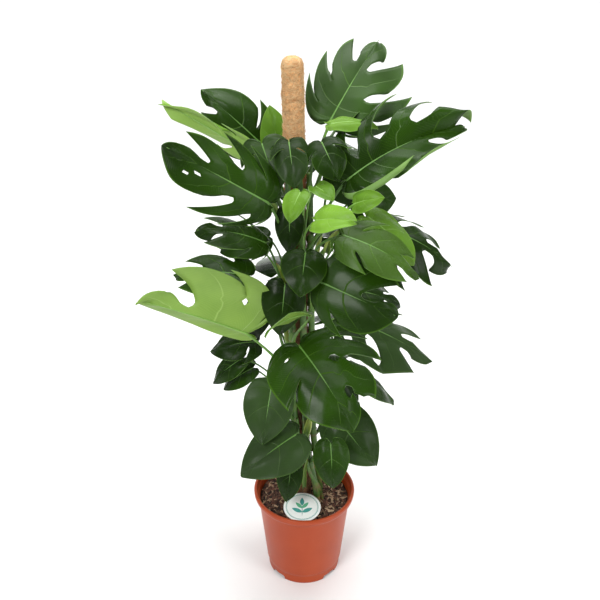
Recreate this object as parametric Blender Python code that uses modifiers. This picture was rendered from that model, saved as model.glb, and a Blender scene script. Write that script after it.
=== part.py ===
"""A potted monstera trained up a coir pole, modelled as solids.

Four stems are tied in round a coir-covered pole, and every leaf is one solid: a blade with its stalk.
Metres, +Z up. The origin is the middle of the pot's underside, and the front faces -Y.
"""

import math
from collections import namedtuple

import bmesh
import bpy
from mathutils import Matrix, Vector

CM = 0.01
GAP = 0.0003  # clearance between pieces that touch
UP = Vector((0, 0, 1))

# Pot: a thin-walled tapered tub with a flared lip, standing on a foot ring and a middle pad
POT_HEIGHT = 0.230
LIP_RADIUS = 0.120
LIP_DEPTH = 0.016
NECK_RADIUS = 0.109
STEP_HEIGHT = 0.027
BODY_FOOT_RADIUS = 0.0915
FOOT_RADIUS = 0.0880
WALL = 0.0020
FLOOR_UNDERSIDE = 0.010
FLOOR_TOP = 0.0125
FOOT_PAD_RADIUS = 0.030
NOTCHES = 4
NOTCH_WIDTH = 0.038
NOTCH_HEIGHT = 0.0085
DRAIN_HOLES = 8
DRAIN_RADIUS = 0.006
DRAIN_CIRCLE = 0.058
POT_SIDES = 44

# Soil
SOIL_TOP = 0.207
SOIL_EDGE_DROP = 0.006
SOIL_SIDES = 32

# Pole: a round stake inside a thick coir sleeve, leaning a little towards -X
LEAN = -0.0195  # X per metre of height
POLE_TOP = 1.250
SLEEVE_FOOT = 0.165
SLEEVE_RADIUS = 0.0212
STAKE_FOOT = 0.030
STAKE_RADIUS = 0.0085
STAKE_TOP = 1.222
POLE_SIDES = 20

# Stems: where each stands round the pole at the soil, and where it has wound to higher up. Azimuth 0
# is +X and 270 is the front.
STEMS = {"stem_left": (205, 243), "stem_right": (325, 290), "stem_side": (12, -20), "stem_back": (95, 85)}
STEM_WINDING = 0.22  # height over which a stem winds into place
STEM_RADIUS = 0.0075
STEM_FOOT = 0.160
STEM_TOP = 1.030
STEM_SPREAD = 0.012  # how much further from the pole the stems leave the soil
STEM_OFFSET = SLEEVE_RADIUS + STEM_RADIUS + 0.0010
STEM_RINGS = 12
FIRST_NODE = SOIL_TOP + 0.012
LAST_NODE = STEM_TOP - 0.030
NODE_DROP = 0.13  # a leaf leaves its stem this far below its blade
NODE_SPACING = 0.020

# Label: a round card on a spike, nearly flat over the soil
LABEL_CENTRE = Vector((-0.005, -0.0675, 0.2275))
LABEL_RADIUS = 0.0435
LABEL_THICKNESS = 0.0012
LABEL_TILT = math.radians(6)
SPIKE_LENGTH = 0.060
SPIKE_WIDTH = 0.006

# Leaves
BLADE_THICKNESS = 0.0014
STALK_RADIUS = 0.0036
STALK_SIDES = 6
STALK_STEPS = 4
FAN = 0.30  # share of the margin whose veins all spring from the blade's base
VEIN_REACH = 0.86  # how far up the midrib the last side vein starts
VEIN_CROWDING = 1.8
SLIT_SPAN = (0.37, 0.87)  # share of the margin that holds the slits
SLIT_ROOT = 0.42  # how near the midrib a slit reaches, as a share of the vein
SLIT_GAP = 0.13  # half of a slit's width at the margin, in lobe widths

# Half of a blade's outline, from the notch at the stalk round to the tip, in blade lengths
MARGIN = (
    (0.02, -0.06), (0.13, -0.20), (0.35, -0.19), (0.50, 0.04), (0.485, 0.36), (0.29, 0.71), (0.0, 1.0),
)

# Leaf colours and finish, by how old the leaf is: colour, roughness
TONES = {
    "mature": ((0.022, 0.085, 0.018, 1), 0.32),
    "young": ((0.155, 0.330, 0.035, 1), 0.38),
}

Leaf = namedtuple("Leaf", "stem base tip face width slits droop fold tone")
# base and tip are the ends of the midrib in centimetres, face is the way the upper side looks, width
# is a share of the length, slits are counted on one side, droop bends the midrib by so many degrees
# and fold is how steeply the two halves rise from it
LEAVES = (
    # the crown
    Leaf("stem_back", (5, 4, 112), (15, 16, 125), (-1, -3, 1), 0.80, 4, 20, 0.20, "mature"),
    Leaf("stem_side", (8, -7, 104), (31, 0, 112), (0, -1, 2), 0.55, 5, 50, -0.10, "mature"),
    Leaf("stem_side", (5, -2, 113), (14, -1, 112), (0, -1, 3), 0.40, 0, 40, 0.30, "young"),
    Leaf("stem_left", (-5, 5, 105), (-7, 7, 114), (0, -2, 1), 0.60, 0, 20, 0.30, "young"),
    Leaf("stem_left", (-11, 2, 106), (-28, 6, 115), (0, 2, 1), 0.35, 1, 10, 0.20, "young"),
    Leaf("stem_back", (-9, 8, 106), (-21, 12, 116), (0, -2, 1), 0.68, 2, 20, 0.15, "mature"),
    Leaf("stem_left", (-7, -11, 101), (-25, -14, 113), (0, -2, 1), 0.54, 4, 15, 0.10, "mature"),
    Leaf("stem_left", (-8, -5, 110), (-5, -9, 102), (0, -2, 1), 0.80, 1, 30, 0.15, "mature"),
    Leaf("stem_left", (-3, -7, 111), (-2, -12, 104), (0, -1, 1), 0.66, 1, 40, 0.15, "mature"),
    Leaf("stem_right", (3, -7, 111), (6, -11, 105), (0, -1, 1), 0.75, 1, 40, 0.15, "mature"),
    # young leaves in the middle of the crown
    Leaf("stem_right", (-1, -14, 104), (-3, -18, 100), (-1, -2, 1), 0.80, 0, 30, 0.20, "young"),
    Leaf("stem_right", (2, -11, 104), (5, -15, 103), (0, -1, 2), 0.80, 0, 30, 0.20, "young"),
    Leaf("stem_right", (2, -17, 100), (9, -20, 101), (0, -2, 3), 0.80, 0, 40, 0.30, "young"),
    Leaf("stem_right", (9, -14, 102), (14, -16, 104), (0, -1, 1), 0.70, 0, 40, 0.20, "young"),
    # the right side, from the top down
    Leaf("stem_back", (10, 5, 95), (19, 8, 94), (0, -2, 1), 0.90, 2, 40, 0.10, "mature"),
    Leaf("stem_side", (13, -3, 93), (30, -5, 84), (0, -1, 2), 0.70, 4, 50, -0.10, "mature"),
    Leaf("stem_side", (12, -9, 97), (21, -13, 89), (0, -1, 2), 0.60, 0, 40, 0.10, "young"),
    Leaf("stem_right", (7, -17, 97), (21, -20, 90), (0, -1, 2), 0.65, 1, 40, 0.15, "mature"),
    Leaf("stem_side", (3, -16, 87), (17, -22, 83), (0, -2, 1), 0.85, 2, 20, 0.10, "mature"),
    Leaf("stem_side", (9, 7, 73), (22, 10, 67), (0, -1, 2), 0.70, 3, 40, 0.10, "mature"),
    Leaf("stem_side", (8, -2, 71), (27, -5, 62), (0, -1, 2), 0.70, 4, 40, -0.10, "mature"),
    Leaf("stem_back", (7, 8, 53), (22, 10, 40), (1, 0, 2), 0.60, 2, 40, 0.10, "mature"),
    Leaf("stem_side", (6, 1, 53), (12, 0, 46), (0, -1, 1), 0.80, 0, 40, 0.10, "mature"),
    Leaf("stem_side", (7, -6, 48), (16, -12, 39), (0, -2, 1), 0.75, 0, 30, 0.10, "mature"),
    # the front
    Leaf("stem_right", (0, -14, 92), (-1, -20, 86), (0, -2, 1), 0.90, 0, 40, 0.10, "mature"),
    Leaf("stem_left", (-1, -16.5, 73), (9, -30, 63), (0, -1, 2), 0.86, 4, 40, 0.10, "mature"),
    Leaf("stem_left", (0, -15, 79.5), (-8, -19, 77), (0, 1, 1), 0.50, 0, 40, 0.30, "young"),
    Leaf("stem_right", (5.5, -14, 47), (6, -18, 38), (0, -2, 1), 0.70, 0, 30, 0.10, "mature"),
    Leaf("stem_left", (-3, -7, 36), (-4, -10, 27), (0, -2, 1), 0.55, 0, 30, 0.10, "mature"),
    Leaf("stem_left", (-4, -8, 82), (-5, -11, 72), (0, -2, 1), 0.75, 0, 30, 0.10, "mature"),
    # the left side, from the top down
    Leaf("stem_left", (-8, -7, 91), (-21, -10, 95), (0, -1, 2), 0.65, 3, 40, 0.10, "mature"),
    Leaf("stem_back", (-8, 6, 86), (-18, 5, 83), (0, -1, 2), 0.70, 1, 40, 0.10, "mature"),
    Leaf("stem_back", (-13, 9, 84), (-14, 8, 78), (0, -2, 1), 0.50, 0, 20, 0.20, "young"),
    Leaf("stem_back", (-12, 2, 79), (-28, 4, 78), (0, -1, 2), 0.70, 3, 40, 0.10, "mature"),
    Leaf("stem_left", (-12, -8, 71), (-33, -12, 81), (0, 3, 1), 0.75, 3, 10, 0.80, "young"),
    Leaf("stem_left", (-9, -1, 75), (-11, -3, 66), (-1, -2, 1), 0.60, 0, 30, 0.10, "mature"),
    Leaf("stem_back", (-11, 3, 62), (-21, 2, 60), (0, -1, 2), 0.80, 1, 40, 0.10, "mature"),
    Leaf("stem_back", (-14, 4, 57), (-21, 4, 50), (0, -1, 2), 0.50, 0, 40, 0.20, "mature"),
    Leaf("stem_back", (-12, 6, 53), (-19, 6, 47), (0, -1, 2), 0.60, 0, 40, 0.20, "mature"),
    Leaf("stem_left", (-7, -10, 59), (-9, -16, 48), (0, -2, 1), 0.80, 0, 30, 0.10, "mature"),
    Leaf("stem_left", (-2, -12, 48), (-13.5, -18.5, 42), (0, -1, 2), 0.75, 0, 30, 0.10, "mature"),
    # the back
    Leaf("stem_back", (4, 13, 100), (9, 33, 96), (0, 1, 3), 0.80, 4, 50, 0.10, "mature"),
    Leaf("stem_back", (-6, 14, 92), (-19, 30, 87), (0, 1, 3), 0.75, 4, 50, 0.10, "mature"),
    Leaf("stem_back", (8, 14, 82), (24, 28, 77), (1, 1, 3), 0.75, 4, 50, 0.10, "mature"),
    Leaf("stem_back", (-2, 15, 74), (-6, 33, 66), (0, 1, 2), 0.80, 3, 50, 0.10, "mature"),
    Leaf("stem_back", (6, 14, 61), (14, 28, 52), (0, 1, 2), 0.80, 2, 50, 0.10, "mature"),
    Leaf("stem_back", (-8, 14, 63), (-18, 26, 54), (0, 1, 2), 0.75, 2, 50, 0.10, "mature"),
    Leaf("stem_back", (0, 11, 42), (3, 22, 34), (0, 2, 1), 0.80, 0, 40, 0.10, "mature"),
    # deep in the crown
    Leaf("stem_left", (-3, -8, 98), (-3, -10.5, 90), (0, -2, 1), 0.50, 0, 30, 0.10, "mature"),
    Leaf("stem_side", (7, 1, 103), (11, 1, 95), (0, -2, 1), 0.80, 0, 30, 0.10, "mature"),
)


def smooth(share):
    """0 to 1 with a level start and end."""
    share = min(max(share, 0.0), 1.0)
    return share * share * (3 - 2 * share)


def along_curve(points, share):
    """The point at a share from 0 to 1 of a smooth curve through evenly spaced points."""
    place = share * (len(points) - 1)
    first = min(int(place), len(points) - 2)
    t = place - first
    a, b, c, d = (Vector(points[min(max(first + k, 0), len(points) - 1)]) for k in (-1, 0, 1, 2))
    return 0.5 * (2 * b + (c - a) * t + (2 * a - 5 * b + 4 * c - d) * t**2 + (3 * b - a - 3 * c + d) * t**3)


def round_direction(azimuth):
    """The level direction at an azimuth in degrees."""
    return Vector((math.cos(math.radians(azimuth)), math.sin(math.radians(azimuth)), 0))


def on_axis(height):
    """The middle of the leaning pole at a height."""
    return Vector((LEAN * height, 0, height))


def stem_azimuth(stem, height):
    low, high = STEMS[stem]
    return low + (high - low) * smooth((height - SOIL_TOP) / STEM_WINDING)


def on_stem(stem, height):
    """The middle of a stem at a height: it leaves the soil a little way off and closes on the pole."""
    spread = STEM_SPREAD * (1 - smooth((height - SOIL_TOP) / STEM_WINDING))
    return on_axis(height) + round_direction(stem_azimuth(stem, height)) * (STEM_OFFSET + spread)


def collection(name):
    made = bpy.data.collections.new(name)
    bpy.context.scene.collection.children.link(made)
    return made


def material(name, colour, roughness, metallic=0.0):
    made = bpy.data.materials.new(name)
    made.use_nodes = True
    made.diffuse_color = colour
    shader = made.node_tree.nodes["Principled BSDF"]
    shader.inputs["Base Color"].default_value = colour
    shader.inputs["Roughness"].default_value = roughness
    shader.inputs["Metallic"].default_value = metallic
    return made


def shade(obj, rounded):
    for face in obj.data.polygons:
        face.use_smooth = rounded


def face_outwards(bm):
    """Turn every face of a closed body outwards."""
    bmesh.ops.recalc_face_normals(bm, faces=bm.faces)
    if bm.calc_volume(signed=True) < 0:
        bmesh.ops.reverse_faces(bm, faces=bm.faces)


def mesh_object(name, bm, group):
    mesh = bpy.data.meshes.new(name)
    bm.to_mesh(mesh)
    bm.free()
    obj = bpy.data.objects.new(name, mesh)
    group.objects.link(obj)
    return obj


def apply_modifiers(obj):
    """Keep the evaluated shape as the object's own mesh."""
    graph = bpy.context.evaluated_depsgraph_get()
    mesh = bpy.data.meshes.new_from_object(obj.evaluated_get(graph))
    obj.modifiers.clear()
    obj.data = mesh


def turned(name, profile, sides, group):
    """A round piece: the profile is (radius, height) down the outside, then back up the inside."""
    mesh = bpy.data.meshes.new(name)
    points = [(radius, 0, height) for radius, height in profile]
    mesh.from_pydata(points, [(n, n + 1) for n in range(len(points) - 1)], [])
    obj = bpy.data.objects.new(name, mesh)
    group.objects.link(obj)
    screw = obj.modifiers.new("Turn", "SCREW")
    screw.steps = sides
    screw.render_steps = sides
    screw.use_merge_vertices = True
    screw.merge_threshold = 0.00005
    screw.use_normal_calculate = True
    apply_modifiers(obj)
    bm = bmesh.new()
    bm.from_mesh(obj.data)
    face_outwards(bm)
    bm.to_mesh(obj.data)
    bm.free()
    return obj


def lean(obj):
    """Shear a piece built upright so that it follows the pole."""
    for vertex in obj.data.vertices:
        vertex.co.x += LEAN * vertex.co.z


def tube(name, path, radii, sides, group):
    """A round rod along a path, with flat ends."""
    curve = bpy.data.curves.new(name, "CURVE")
    curve.dimensions = "3D"
    curve.bevel_depth = 1.0
    curve.bevel_resolution = sides // 2 - 2
    curve.use_fill_caps = True
    spline = curve.splines.new("POLY")
    spline.points.add(len(path) - 1)
    for point, place, radius in zip(spline.points, path, radii):
        point.co = (*place, 1)
        point.radius = radius
    drawn = bpy.data.objects.new(name, curve)
    group.objects.link(drawn)
    mesh = bpy.data.meshes.new_from_object(drawn.evaluated_get(bpy.context.evaluated_depsgraph_get()))
    bpy.data.objects.remove(drawn)
    bm = bmesh.new()
    bm.from_mesh(mesh)
    bmesh.ops.remove_doubles(bm, verts=bm.verts, dist=0.00001)
    face_outwards(bm)
    return mesh_object(name, bm, group)


def combine(obj, other, operation):
    cut = obj.modifiers.new(operation.title(), "BOOLEAN")
    cut.operation = operation
    cut.solver = "EXACT"
    cut.object = other
    apply_modifiers(obj)


def cutter_box(bm, size, place, turn=0.0):
    """Add a box to a cutter, turned about the vertical through the origin."""
    made = bmesh.ops.create_cube(bm, size=1.0)["verts"]
    bmesh.ops.scale(bm, verts=made, vec=size)
    bmesh.ops.translate(bm, verts=made, vec=place)
    bmesh.ops.rotate(bm, verts=made, cent=(0, 0, 0), matrix=Matrix.Rotation(turn, 3, "Z"))


def cutter_rod(bm, radius, foot, top, sides=16):
    """Add a rod between two points on a nearly upright line to a cutter."""
    foot, top = Vector(foot), Vector(top)
    made = bmesh.ops.create_cone(
        bm, segments=sides, radius1=radius, radius2=radius, depth=(top - foot).length, cap_ends=True
    )["verts"]
    bmesh.ops.rotate(bm, verts=made, cent=(0, 0, 0), matrix=UP.rotation_difference(top - foot).to_matrix())
    bmesh.ops.translate(bm, verts=made, vec=(foot + top) / 2)


def cutter(name, bm, group):
    obj = mesh_object(name, bm, group)
    obj.hide_render = True
    obj.display_type = "WIRE"
    return obj


def inner_wall(height):
    """Inside radius of the pot at a height below the lip."""
    share = (height - STEP_HEIGHT) / (POT_HEIGHT - LIP_DEPTH - STEP_HEIGHT)
    return BODY_FOOT_RADIUS - WALL + (NECK_RADIUS - BODY_FOOT_RADIUS) * share


def build_pot(parts, cutters):
    neck = POT_HEIGHT - LIP_DEPTH
    profile = [
        (LIP_RADIUS - 0.0060, POT_HEIGHT),
        (LIP_RADIUS - 0.0016, POT_HEIGHT - 0.0008),
        (LIP_RADIUS, POT_HEIGHT - 0.0030),
        (LIP_RADIUS - 0.0008, neck + 0.0030),
        (LIP_RADIUS - 0.0030, neck + 0.0008),
        (NECK_RADIUS + 0.0006, neck),
        (NECK_RADIUS, neck - 0.0020),
        (BODY_FOOT_RADIUS, STEP_HEIGHT),
        (FOOT_RADIUS + 0.0006, STEP_HEIGHT - 0.0020),
        (FOOT_RADIUS, 0.0),
        (FOOT_RADIUS - 0.0035, 0.0),
        (FOOT_RADIUS - 0.0025, FLOOR_UNDERSIDE),
        (FOOT_PAD_RADIUS + 0.0010, FLOOR_UNDERSIDE),
        (FOOT_PAD_RADIUS, 0.0),
        (0.0, 0.0),
    ]
    inside = [
        (0.0, FLOOR_TOP),
        (FOOT_RADIUS - WALL, FLOOR_TOP),
        (inner_wall(STEP_HEIGHT) - 0.0004, STEP_HEIGHT),
        (inner_wall(neck), neck + 0.0006),
        (LIP_RADIUS - 0.0075, neck + 0.0050),
        (LIP_RADIUS - 0.0068, POT_HEIGHT - 0.0012),
        (LIP_RADIUS - 0.0060, POT_HEIGHT),
    ]
    pot = turned("pot", profile + inside, POT_SIDES, parts)
    bm = bmesh.new()
    for notch in range(NOTCHES):
        turn = math.radians(45 + 360 / NOTCHES * notch)
        cutter_box(bm, (0.030, NOTCH_WIDTH, 2 * NOTCH_HEIGHT), (FOOT_RADIUS, 0, 0), turn)
    for hole in range(DRAIN_HOLES):
        place = round_direction(360 / DRAIN_HOLES * hole) * DRAIN_CIRCLE
        cutter_rod(bm, DRAIN_RADIUS, place, place + UP * 0.030, 10)
    combine(pot, cutter("pot_cutter", bm, cutters), "DIFFERENCE")
    shade(pot, True)
    pot.data.materials.append(material("pot_plastic", (0.60, 0.135, 0.050, 1), 0.35))


def build_soil(parts, cutters):
    edge = SOIL_TOP - SOIL_EDGE_DROP
    profile = [
        (0.0, SOIL_TOP),
        (0.045, SOIL_TOP),
        (0.088, SOIL_TOP - 0.002),
        (inner_wall(edge) - 0.0008, edge),
        (inner_wall(STEP_HEIGHT + 0.002) - 0.0008, STEP_HEIGHT + 0.002),
        (FOOT_RADIUS - WALL - 0.0012, FLOOR_TOP + GAP),
        (0.0, FLOOR_TOP + GAP),
    ]
    soil = turned("potting_soil", profile, SOIL_SIDES, parts)
    bm = bmesh.new()
    for stem in STEMS:
        cutter_rod(bm, STEM_RADIUS + 3 * GAP, on_stem(stem, STEM_FOOT - GAP), on_stem(stem, SOIL_TOP + 0.002))
    combine(soil, cutter("soil_stem_cutter", bm, cutters), "DIFFERENCE")
    for name, radius, foot in (("sleeve", SLEEVE_RADIUS, SLEEVE_FOOT), ("stake", STAKE_RADIUS, STAKE_FOOT)):
        bm = bmesh.new()
        cutter_rod(bm, radius + 2 * GAP, UP * (foot - GAP), UP * (SOIL_TOP + 0.02), POLE_SIDES)
        socket = cutter(f"soil_{name}_cutter", bm, cutters)
        lean(socket)
        combine(soil, socket, "DIFFERENCE")
    bm = bmesh.new()
    width = SPIKE_WIDTH + 4 * GAP
    depth = SPIKE_LENGTH + 2 * GAP
    cutter_box(bm, (width, LABEL_THICKNESS + 4 * GAP, depth), LABEL_CENTRE - UP * depth / 2)
    combine(soil, cutter("soil_spike_cutter", bm, cutters), "DIFFERENCE")
    shade(soil, False)
    soil.data.materials.append(material("soil", (0.075, 0.036, 0.020, 1), 0.95))


def build_pole(parts):
    bore = STAKE_RADIUS + GAP * 1.5
    shoulder = SLEEVE_RADIUS * 0.72
    sleeve = turned(
        "coir_sleeve",
        [
            (0.0, POLE_TOP),
            (SLEEVE_RADIUS * 0.42, POLE_TOP - 0.0012),
            (shoulder, POLE_TOP - 0.0048),
            (SLEEVE_RADIUS * 0.93, POLE_TOP - 0.0110),
            (SLEEVE_RADIUS, POLE_TOP - 0.0200),
            (SLEEVE_RADIUS, SLEEVE_FOOT),
            (bore, SLEEVE_FOOT),
            (bore, STAKE_TOP + GAP),
            (0.0, STAKE_TOP + GAP),
        ],
        POLE_SIDES,
        parts,
    )
    lean(sleeve)
    shade(sleeve, True)
    sleeve.data.materials.append(material("coir", (0.48, 0.235, 0.095, 1), 0.90))
    stake = turned(
        "pole_stake",
        [(0.0, STAKE_TOP), (STAKE_RADIUS, STAKE_TOP), (STAKE_RADIUS, STAKE_FOOT), (0.0, STAKE_FOOT)],
        POLE_SIDES,
        parts,
    )
    lean(stake)
    shade(stake, True)
    stake.data.materials.append(material("stake_wood", (0.42, 0.28, 0.15, 1), 0.75))


def build_label(parts):
    bm = bmesh.new()
    bmesh.ops.create_cone(
        bm, segments=40, radius1=LABEL_RADIUS, radius2=LABEL_RADIUS, depth=LABEL_THICKNESS, cap_ends=True
    )
    bmesh.ops.rotate(bm, verts=bm.verts, cent=(0, 0, 0), matrix=Matrix.Rotation(LABEL_TILT, 3, "X"))
    bmesh.ops.translate(bm, verts=bm.verts, vec=LABEL_CENTRE)
    label = mesh_object("plant_label", bm, parts)
    bm = bmesh.new()
    cutter_box(bm, (SPIKE_WIDTH, LABEL_THICKNESS, SPIKE_LENGTH), LABEL_CENTRE - UP * SPIKE_LENGTH / 2)
    low = [v for v in bm.verts if v.co.z < LABEL_CENTRE.z - SPIKE_LENGTH / 2]
    bmesh.ops.scale(bm, verts=low, vec=(0.35, 1, 1), space=Matrix.Translation(-LABEL_CENTRE))
    spike = mesh_object("plant_label_spike", bm, parts)
    combine(label, spike, "UNION")
    bpy.data.objects.remove(spike)
    shade(label, False)
    label.data.materials.append(material("label_card", (0.86, 0.88, 0.86, 1), 0.45))


def build_stem(name, parts, green):
    heights = [STEM_FOOT + (STEM_TOP - STEM_FOOT) * (n / STEM_RINGS) ** 1.7 for n in range(STEM_RINGS + 1)]
    path = [on_stem(name, height) for height in heights]
    radii = [STEM_RADIUS] * STEM_RINGS + [STEM_RADIUS * 0.55]
    stem = tube(name, path, radii, 10, parts)
    shade(stem, True)
    stem.data.materials.append(green)


def vein_start(s):
    """Where on the midrib the vein to margin place s begins, in blade lengths."""
    return VEIN_REACH * max(0.0, (s - FAN) / (1 - FAN)) ** VEIN_CROWDING


def blade_point(leaf, across, s):
    """A point of the flat blade: across runs from one margin (-1) by the midrib (0) to the other (1)."""
    margin = along_curve(MARGIN, min(max(s, 0.0), 1.0))
    x = abs(across) * margin.x * leaf.width
    y = vein_start(s) * (1 - abs(across)) + margin.y * abs(across)
    return math.copysign(x, across), y


def blade_frame(leaf):
    """The blade's own axes: across, along the midrib and out of the upper side."""
    base, tip = Vector(leaf.base) * CM, Vector(leaf.tip) * CM
    along = (tip - base).normalized()
    out = Vector(leaf.face)
    out = (out - along * out.dot(along)).normalized()
    return base, (tip - base).length, along.cross(out), along, out


def place_on_blade(leaf, x, y, lift=0.0):
    """Bend a point of the flat blade into place. The midrib is an arc from the base to the tip."""
    base, length, across, along, out = blade_frame(leaf)
    bend = math.radians(max(leaf.droop, 1))
    radius = length / (2 * math.sin(bend / 2))
    angle = bend * (y - 0.5)
    forward = radius * (math.sin(angle) + math.sin(bend / 2))
    rise = radius * (math.cos(angle) - math.cos(bend / 2))
    side = x * length
    fold = leaf.fold * abs(side) - 0.9 * leaf.fold * side * side / length - 0.35 * side * side / length
    normal = out * math.cos(angle) + along * math.sin(angle)
    return base + across * side + along * forward + out * rise + normal * (fold + lift)


def build_blade(name, leaf, parts):
    """The blade: a grid whose slit rows are parted, curved into place and given its thickness."""
    if leaf.slits:
        first, last = SLIT_SPAN
        slit_rows = [first + (last - first) * n / max(leaf.slits - 1, 1) for n in range(leaf.slits)]
        rows = [0.0, 0.10, 0.22] + slit_rows + [1.0]
        if leaf.slits < 3:
            rows = sorted(set(rows) | {0.37, 0.62, 0.87})
    else:
        slit_rows = []
        rows = [0.0, 0.12, 0.30, 0.50, 0.75, 1.0]
    lobe = (SLIT_SPAN[1] - SLIT_SPAN[0]) / max(leaf.slits - 1, 3)
    columns = [-1.0, -SLIT_ROOT, 0.0, SLIT_ROOT, 1.0]
    bm = bmesh.new()
    bmesh.ops.create_grid(bm, x_segments=len(columns) - 1, y_segments=len(rows) - 1, size=0.5)
    for vertex in bm.verts:
        column = columns[round((vertex.co.x + 0.5) * (len(columns) - 1))]
        vertex.co = (column, rows[round((vertex.co.y + 0.5) * (len(rows) - 1))], 0)
    slit_edges = [
        edge
        for edge in bm.edges
        if edge.verts[0].co.y == edge.verts[1].co.y
        and any(abs(edge.verts[0].co.y - row) < 1e-6 for row in slit_rows)
        and min(abs(v.co.x) for v in edge.verts) > SLIT_ROOT - 0.01
    ]
    bmesh.ops.split_edges(bm, edges=slit_edges)
    moves = {}
    for vertex in bm.verts:
        across, s = vertex.co.x, vertex.co.y
        if abs(across) > 0.99 and any(abs(s - row) < 1e-6 for row in slit_rows):
            middle = sum(face.calc_center_median().y for face in vertex.link_faces) / len(vertex.link_faces)
            moves[vertex] = math.copysign(SLIT_GAP * lobe, middle - s)
    for vertex in bm.verts:
        x, y = blade_point(leaf, vertex.co.x, vertex.co.y + moves.get(vertex, 0.0))
        vertex.co = place_on_blade(leaf, x, y)
    bmesh.ops.remove_doubles(bm, verts=bm.verts, dist=0.00005)
    blade = mesh_object(name, bm, parts)
    shell = blade.modifiers.new("Thickness", "SOLIDIFY")
    shell.thickness = BLADE_THICKNESS
    shell.offset = 0
    apply_modifiers(blade)
    bm = bmesh.new()
    bm.from_mesh(blade.data)
    face_outwards(bm)
    bm.to_mesh(blade.data)
    bm.free()
    return blade


def stalk_path(leaf, node):
    """From beside the stem, up and over to the blade's base, then a little way under the midrib."""
    base = Vector(leaf.base) * CM
    foot = on_stem(leaf.stem, node)
    away = base - foot
    heading = math.degrees(math.atan2(away.y, away.x))
    azimuth = stem_azimuth(leaf.stem, node)
    swing = (heading - azimuth + 180) % 360 - 180
    outward = round_direction(azimuth + min(max(swing, -80), 80))
    start = foot + outward * (STEM_RADIUS + STALK_RADIUS + 2 * GAP)
    reach = (base - start).length
    length = (Vector(leaf.tip) * CM - base).length
    along = (Vector(leaf.tip) * CM - base).normalized()
    first = start + UP * reach * 0.32 + outward * reach * 0.20
    arriving = ((base - start).normalized() * 0.7 + along * 0.8 + UP * 0.3).normalized()
    last = base - arriving * reach * 0.30
    points = []
    for n in range(STALK_STEPS + 1):
        t = n / STALK_STEPS
        points.append(
            start * (1 - t) ** 3 + first * 3 * t * (1 - t) ** 2 + last * 3 * t * t * (1 - t) + base * t**3
        )
    points[-1] = place_on_blade(leaf, 0, 0.02, -0.0006)
    points.append(place_on_blade(leaf, 0, 0.02 + 0.012 / length, -0.0006))
    return points


def node_heights(climbing):
    """Where the leaves of one stem, listed from the bottom up, leave it."""
    heights = []
    above = LAST_NODE + NODE_SPACING
    for leaf in reversed(climbing):
        above = min(leaf.base[2] * CM - NODE_DROP, above - NODE_SPACING)
        heights.append(max(above, FIRST_NODE))
    return heights[::-1]


def build_leaf(name, leaf, node, parts, green):
    blade = build_blade(name, leaf, parts)
    path = stalk_path(leaf, node)
    radii = [STALK_RADIUS] * 2 + [STALK_RADIUS * 0.75] * (len(path) - 3) + [STALK_RADIUS * 0.4]
    stalk = tube(name + "_stalk", path, radii, STALK_SIDES, parts)
    combine(blade, stalk, "UNION")
    bpy.data.objects.remove(stalk)
    shade(blade, True)
    blade.data.materials.clear()
    blade.data.materials.append(green)


def build():
    for obj in list(bpy.data.objects):
        bpy.data.objects.remove(obj)
    parts = collection("potted_monstera")
    cutters = collection("cutters")
    build_pot(parts, cutters)
    build_soil(parts, cutters)
    build_pole(parts)
    build_label(parts)
    stem_green = material("stem_skin", (0.075, 0.165, 0.030, 1), 0.45)
    for stem in STEMS:
        build_stem(stem, parts, stem_green)
    greens = {tone: material("leaf_" + tone, colour, gloss) for tone, (colour, gloss) in TONES.items()}
    names = {leaf: f"leaf_{number:02d}" for number, leaf in enumerate(LEAVES, 1)}
    for stem in STEMS:
        climbing = sorted((leaf for leaf in LEAVES if leaf.stem == stem), key=lambda leaf: leaf.base[2])
        for leaf, node in zip(climbing, node_heights(climbing)):
            build_leaf(names[leaf], leaf, node, parts, greens[leaf.tone])


build()
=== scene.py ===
import math
import random
from collections import namedtuple

import bmesh
import bpy
import numpy as np
from mathutils import Matrix, Vector, noise


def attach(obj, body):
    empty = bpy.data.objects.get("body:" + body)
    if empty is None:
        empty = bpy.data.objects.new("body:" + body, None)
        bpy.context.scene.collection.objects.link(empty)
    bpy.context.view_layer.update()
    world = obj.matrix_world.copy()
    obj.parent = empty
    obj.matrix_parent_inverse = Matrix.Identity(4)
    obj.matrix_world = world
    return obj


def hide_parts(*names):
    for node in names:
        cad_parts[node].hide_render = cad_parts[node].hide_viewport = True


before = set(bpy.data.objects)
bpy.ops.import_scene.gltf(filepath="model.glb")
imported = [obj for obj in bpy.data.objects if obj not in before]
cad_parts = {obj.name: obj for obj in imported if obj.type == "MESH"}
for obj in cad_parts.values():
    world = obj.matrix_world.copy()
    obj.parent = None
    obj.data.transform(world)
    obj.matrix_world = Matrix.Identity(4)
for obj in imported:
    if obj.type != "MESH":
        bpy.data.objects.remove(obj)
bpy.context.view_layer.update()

CM = 0.01
UP = np.array((0.0, 0.0, 1.0))

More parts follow.
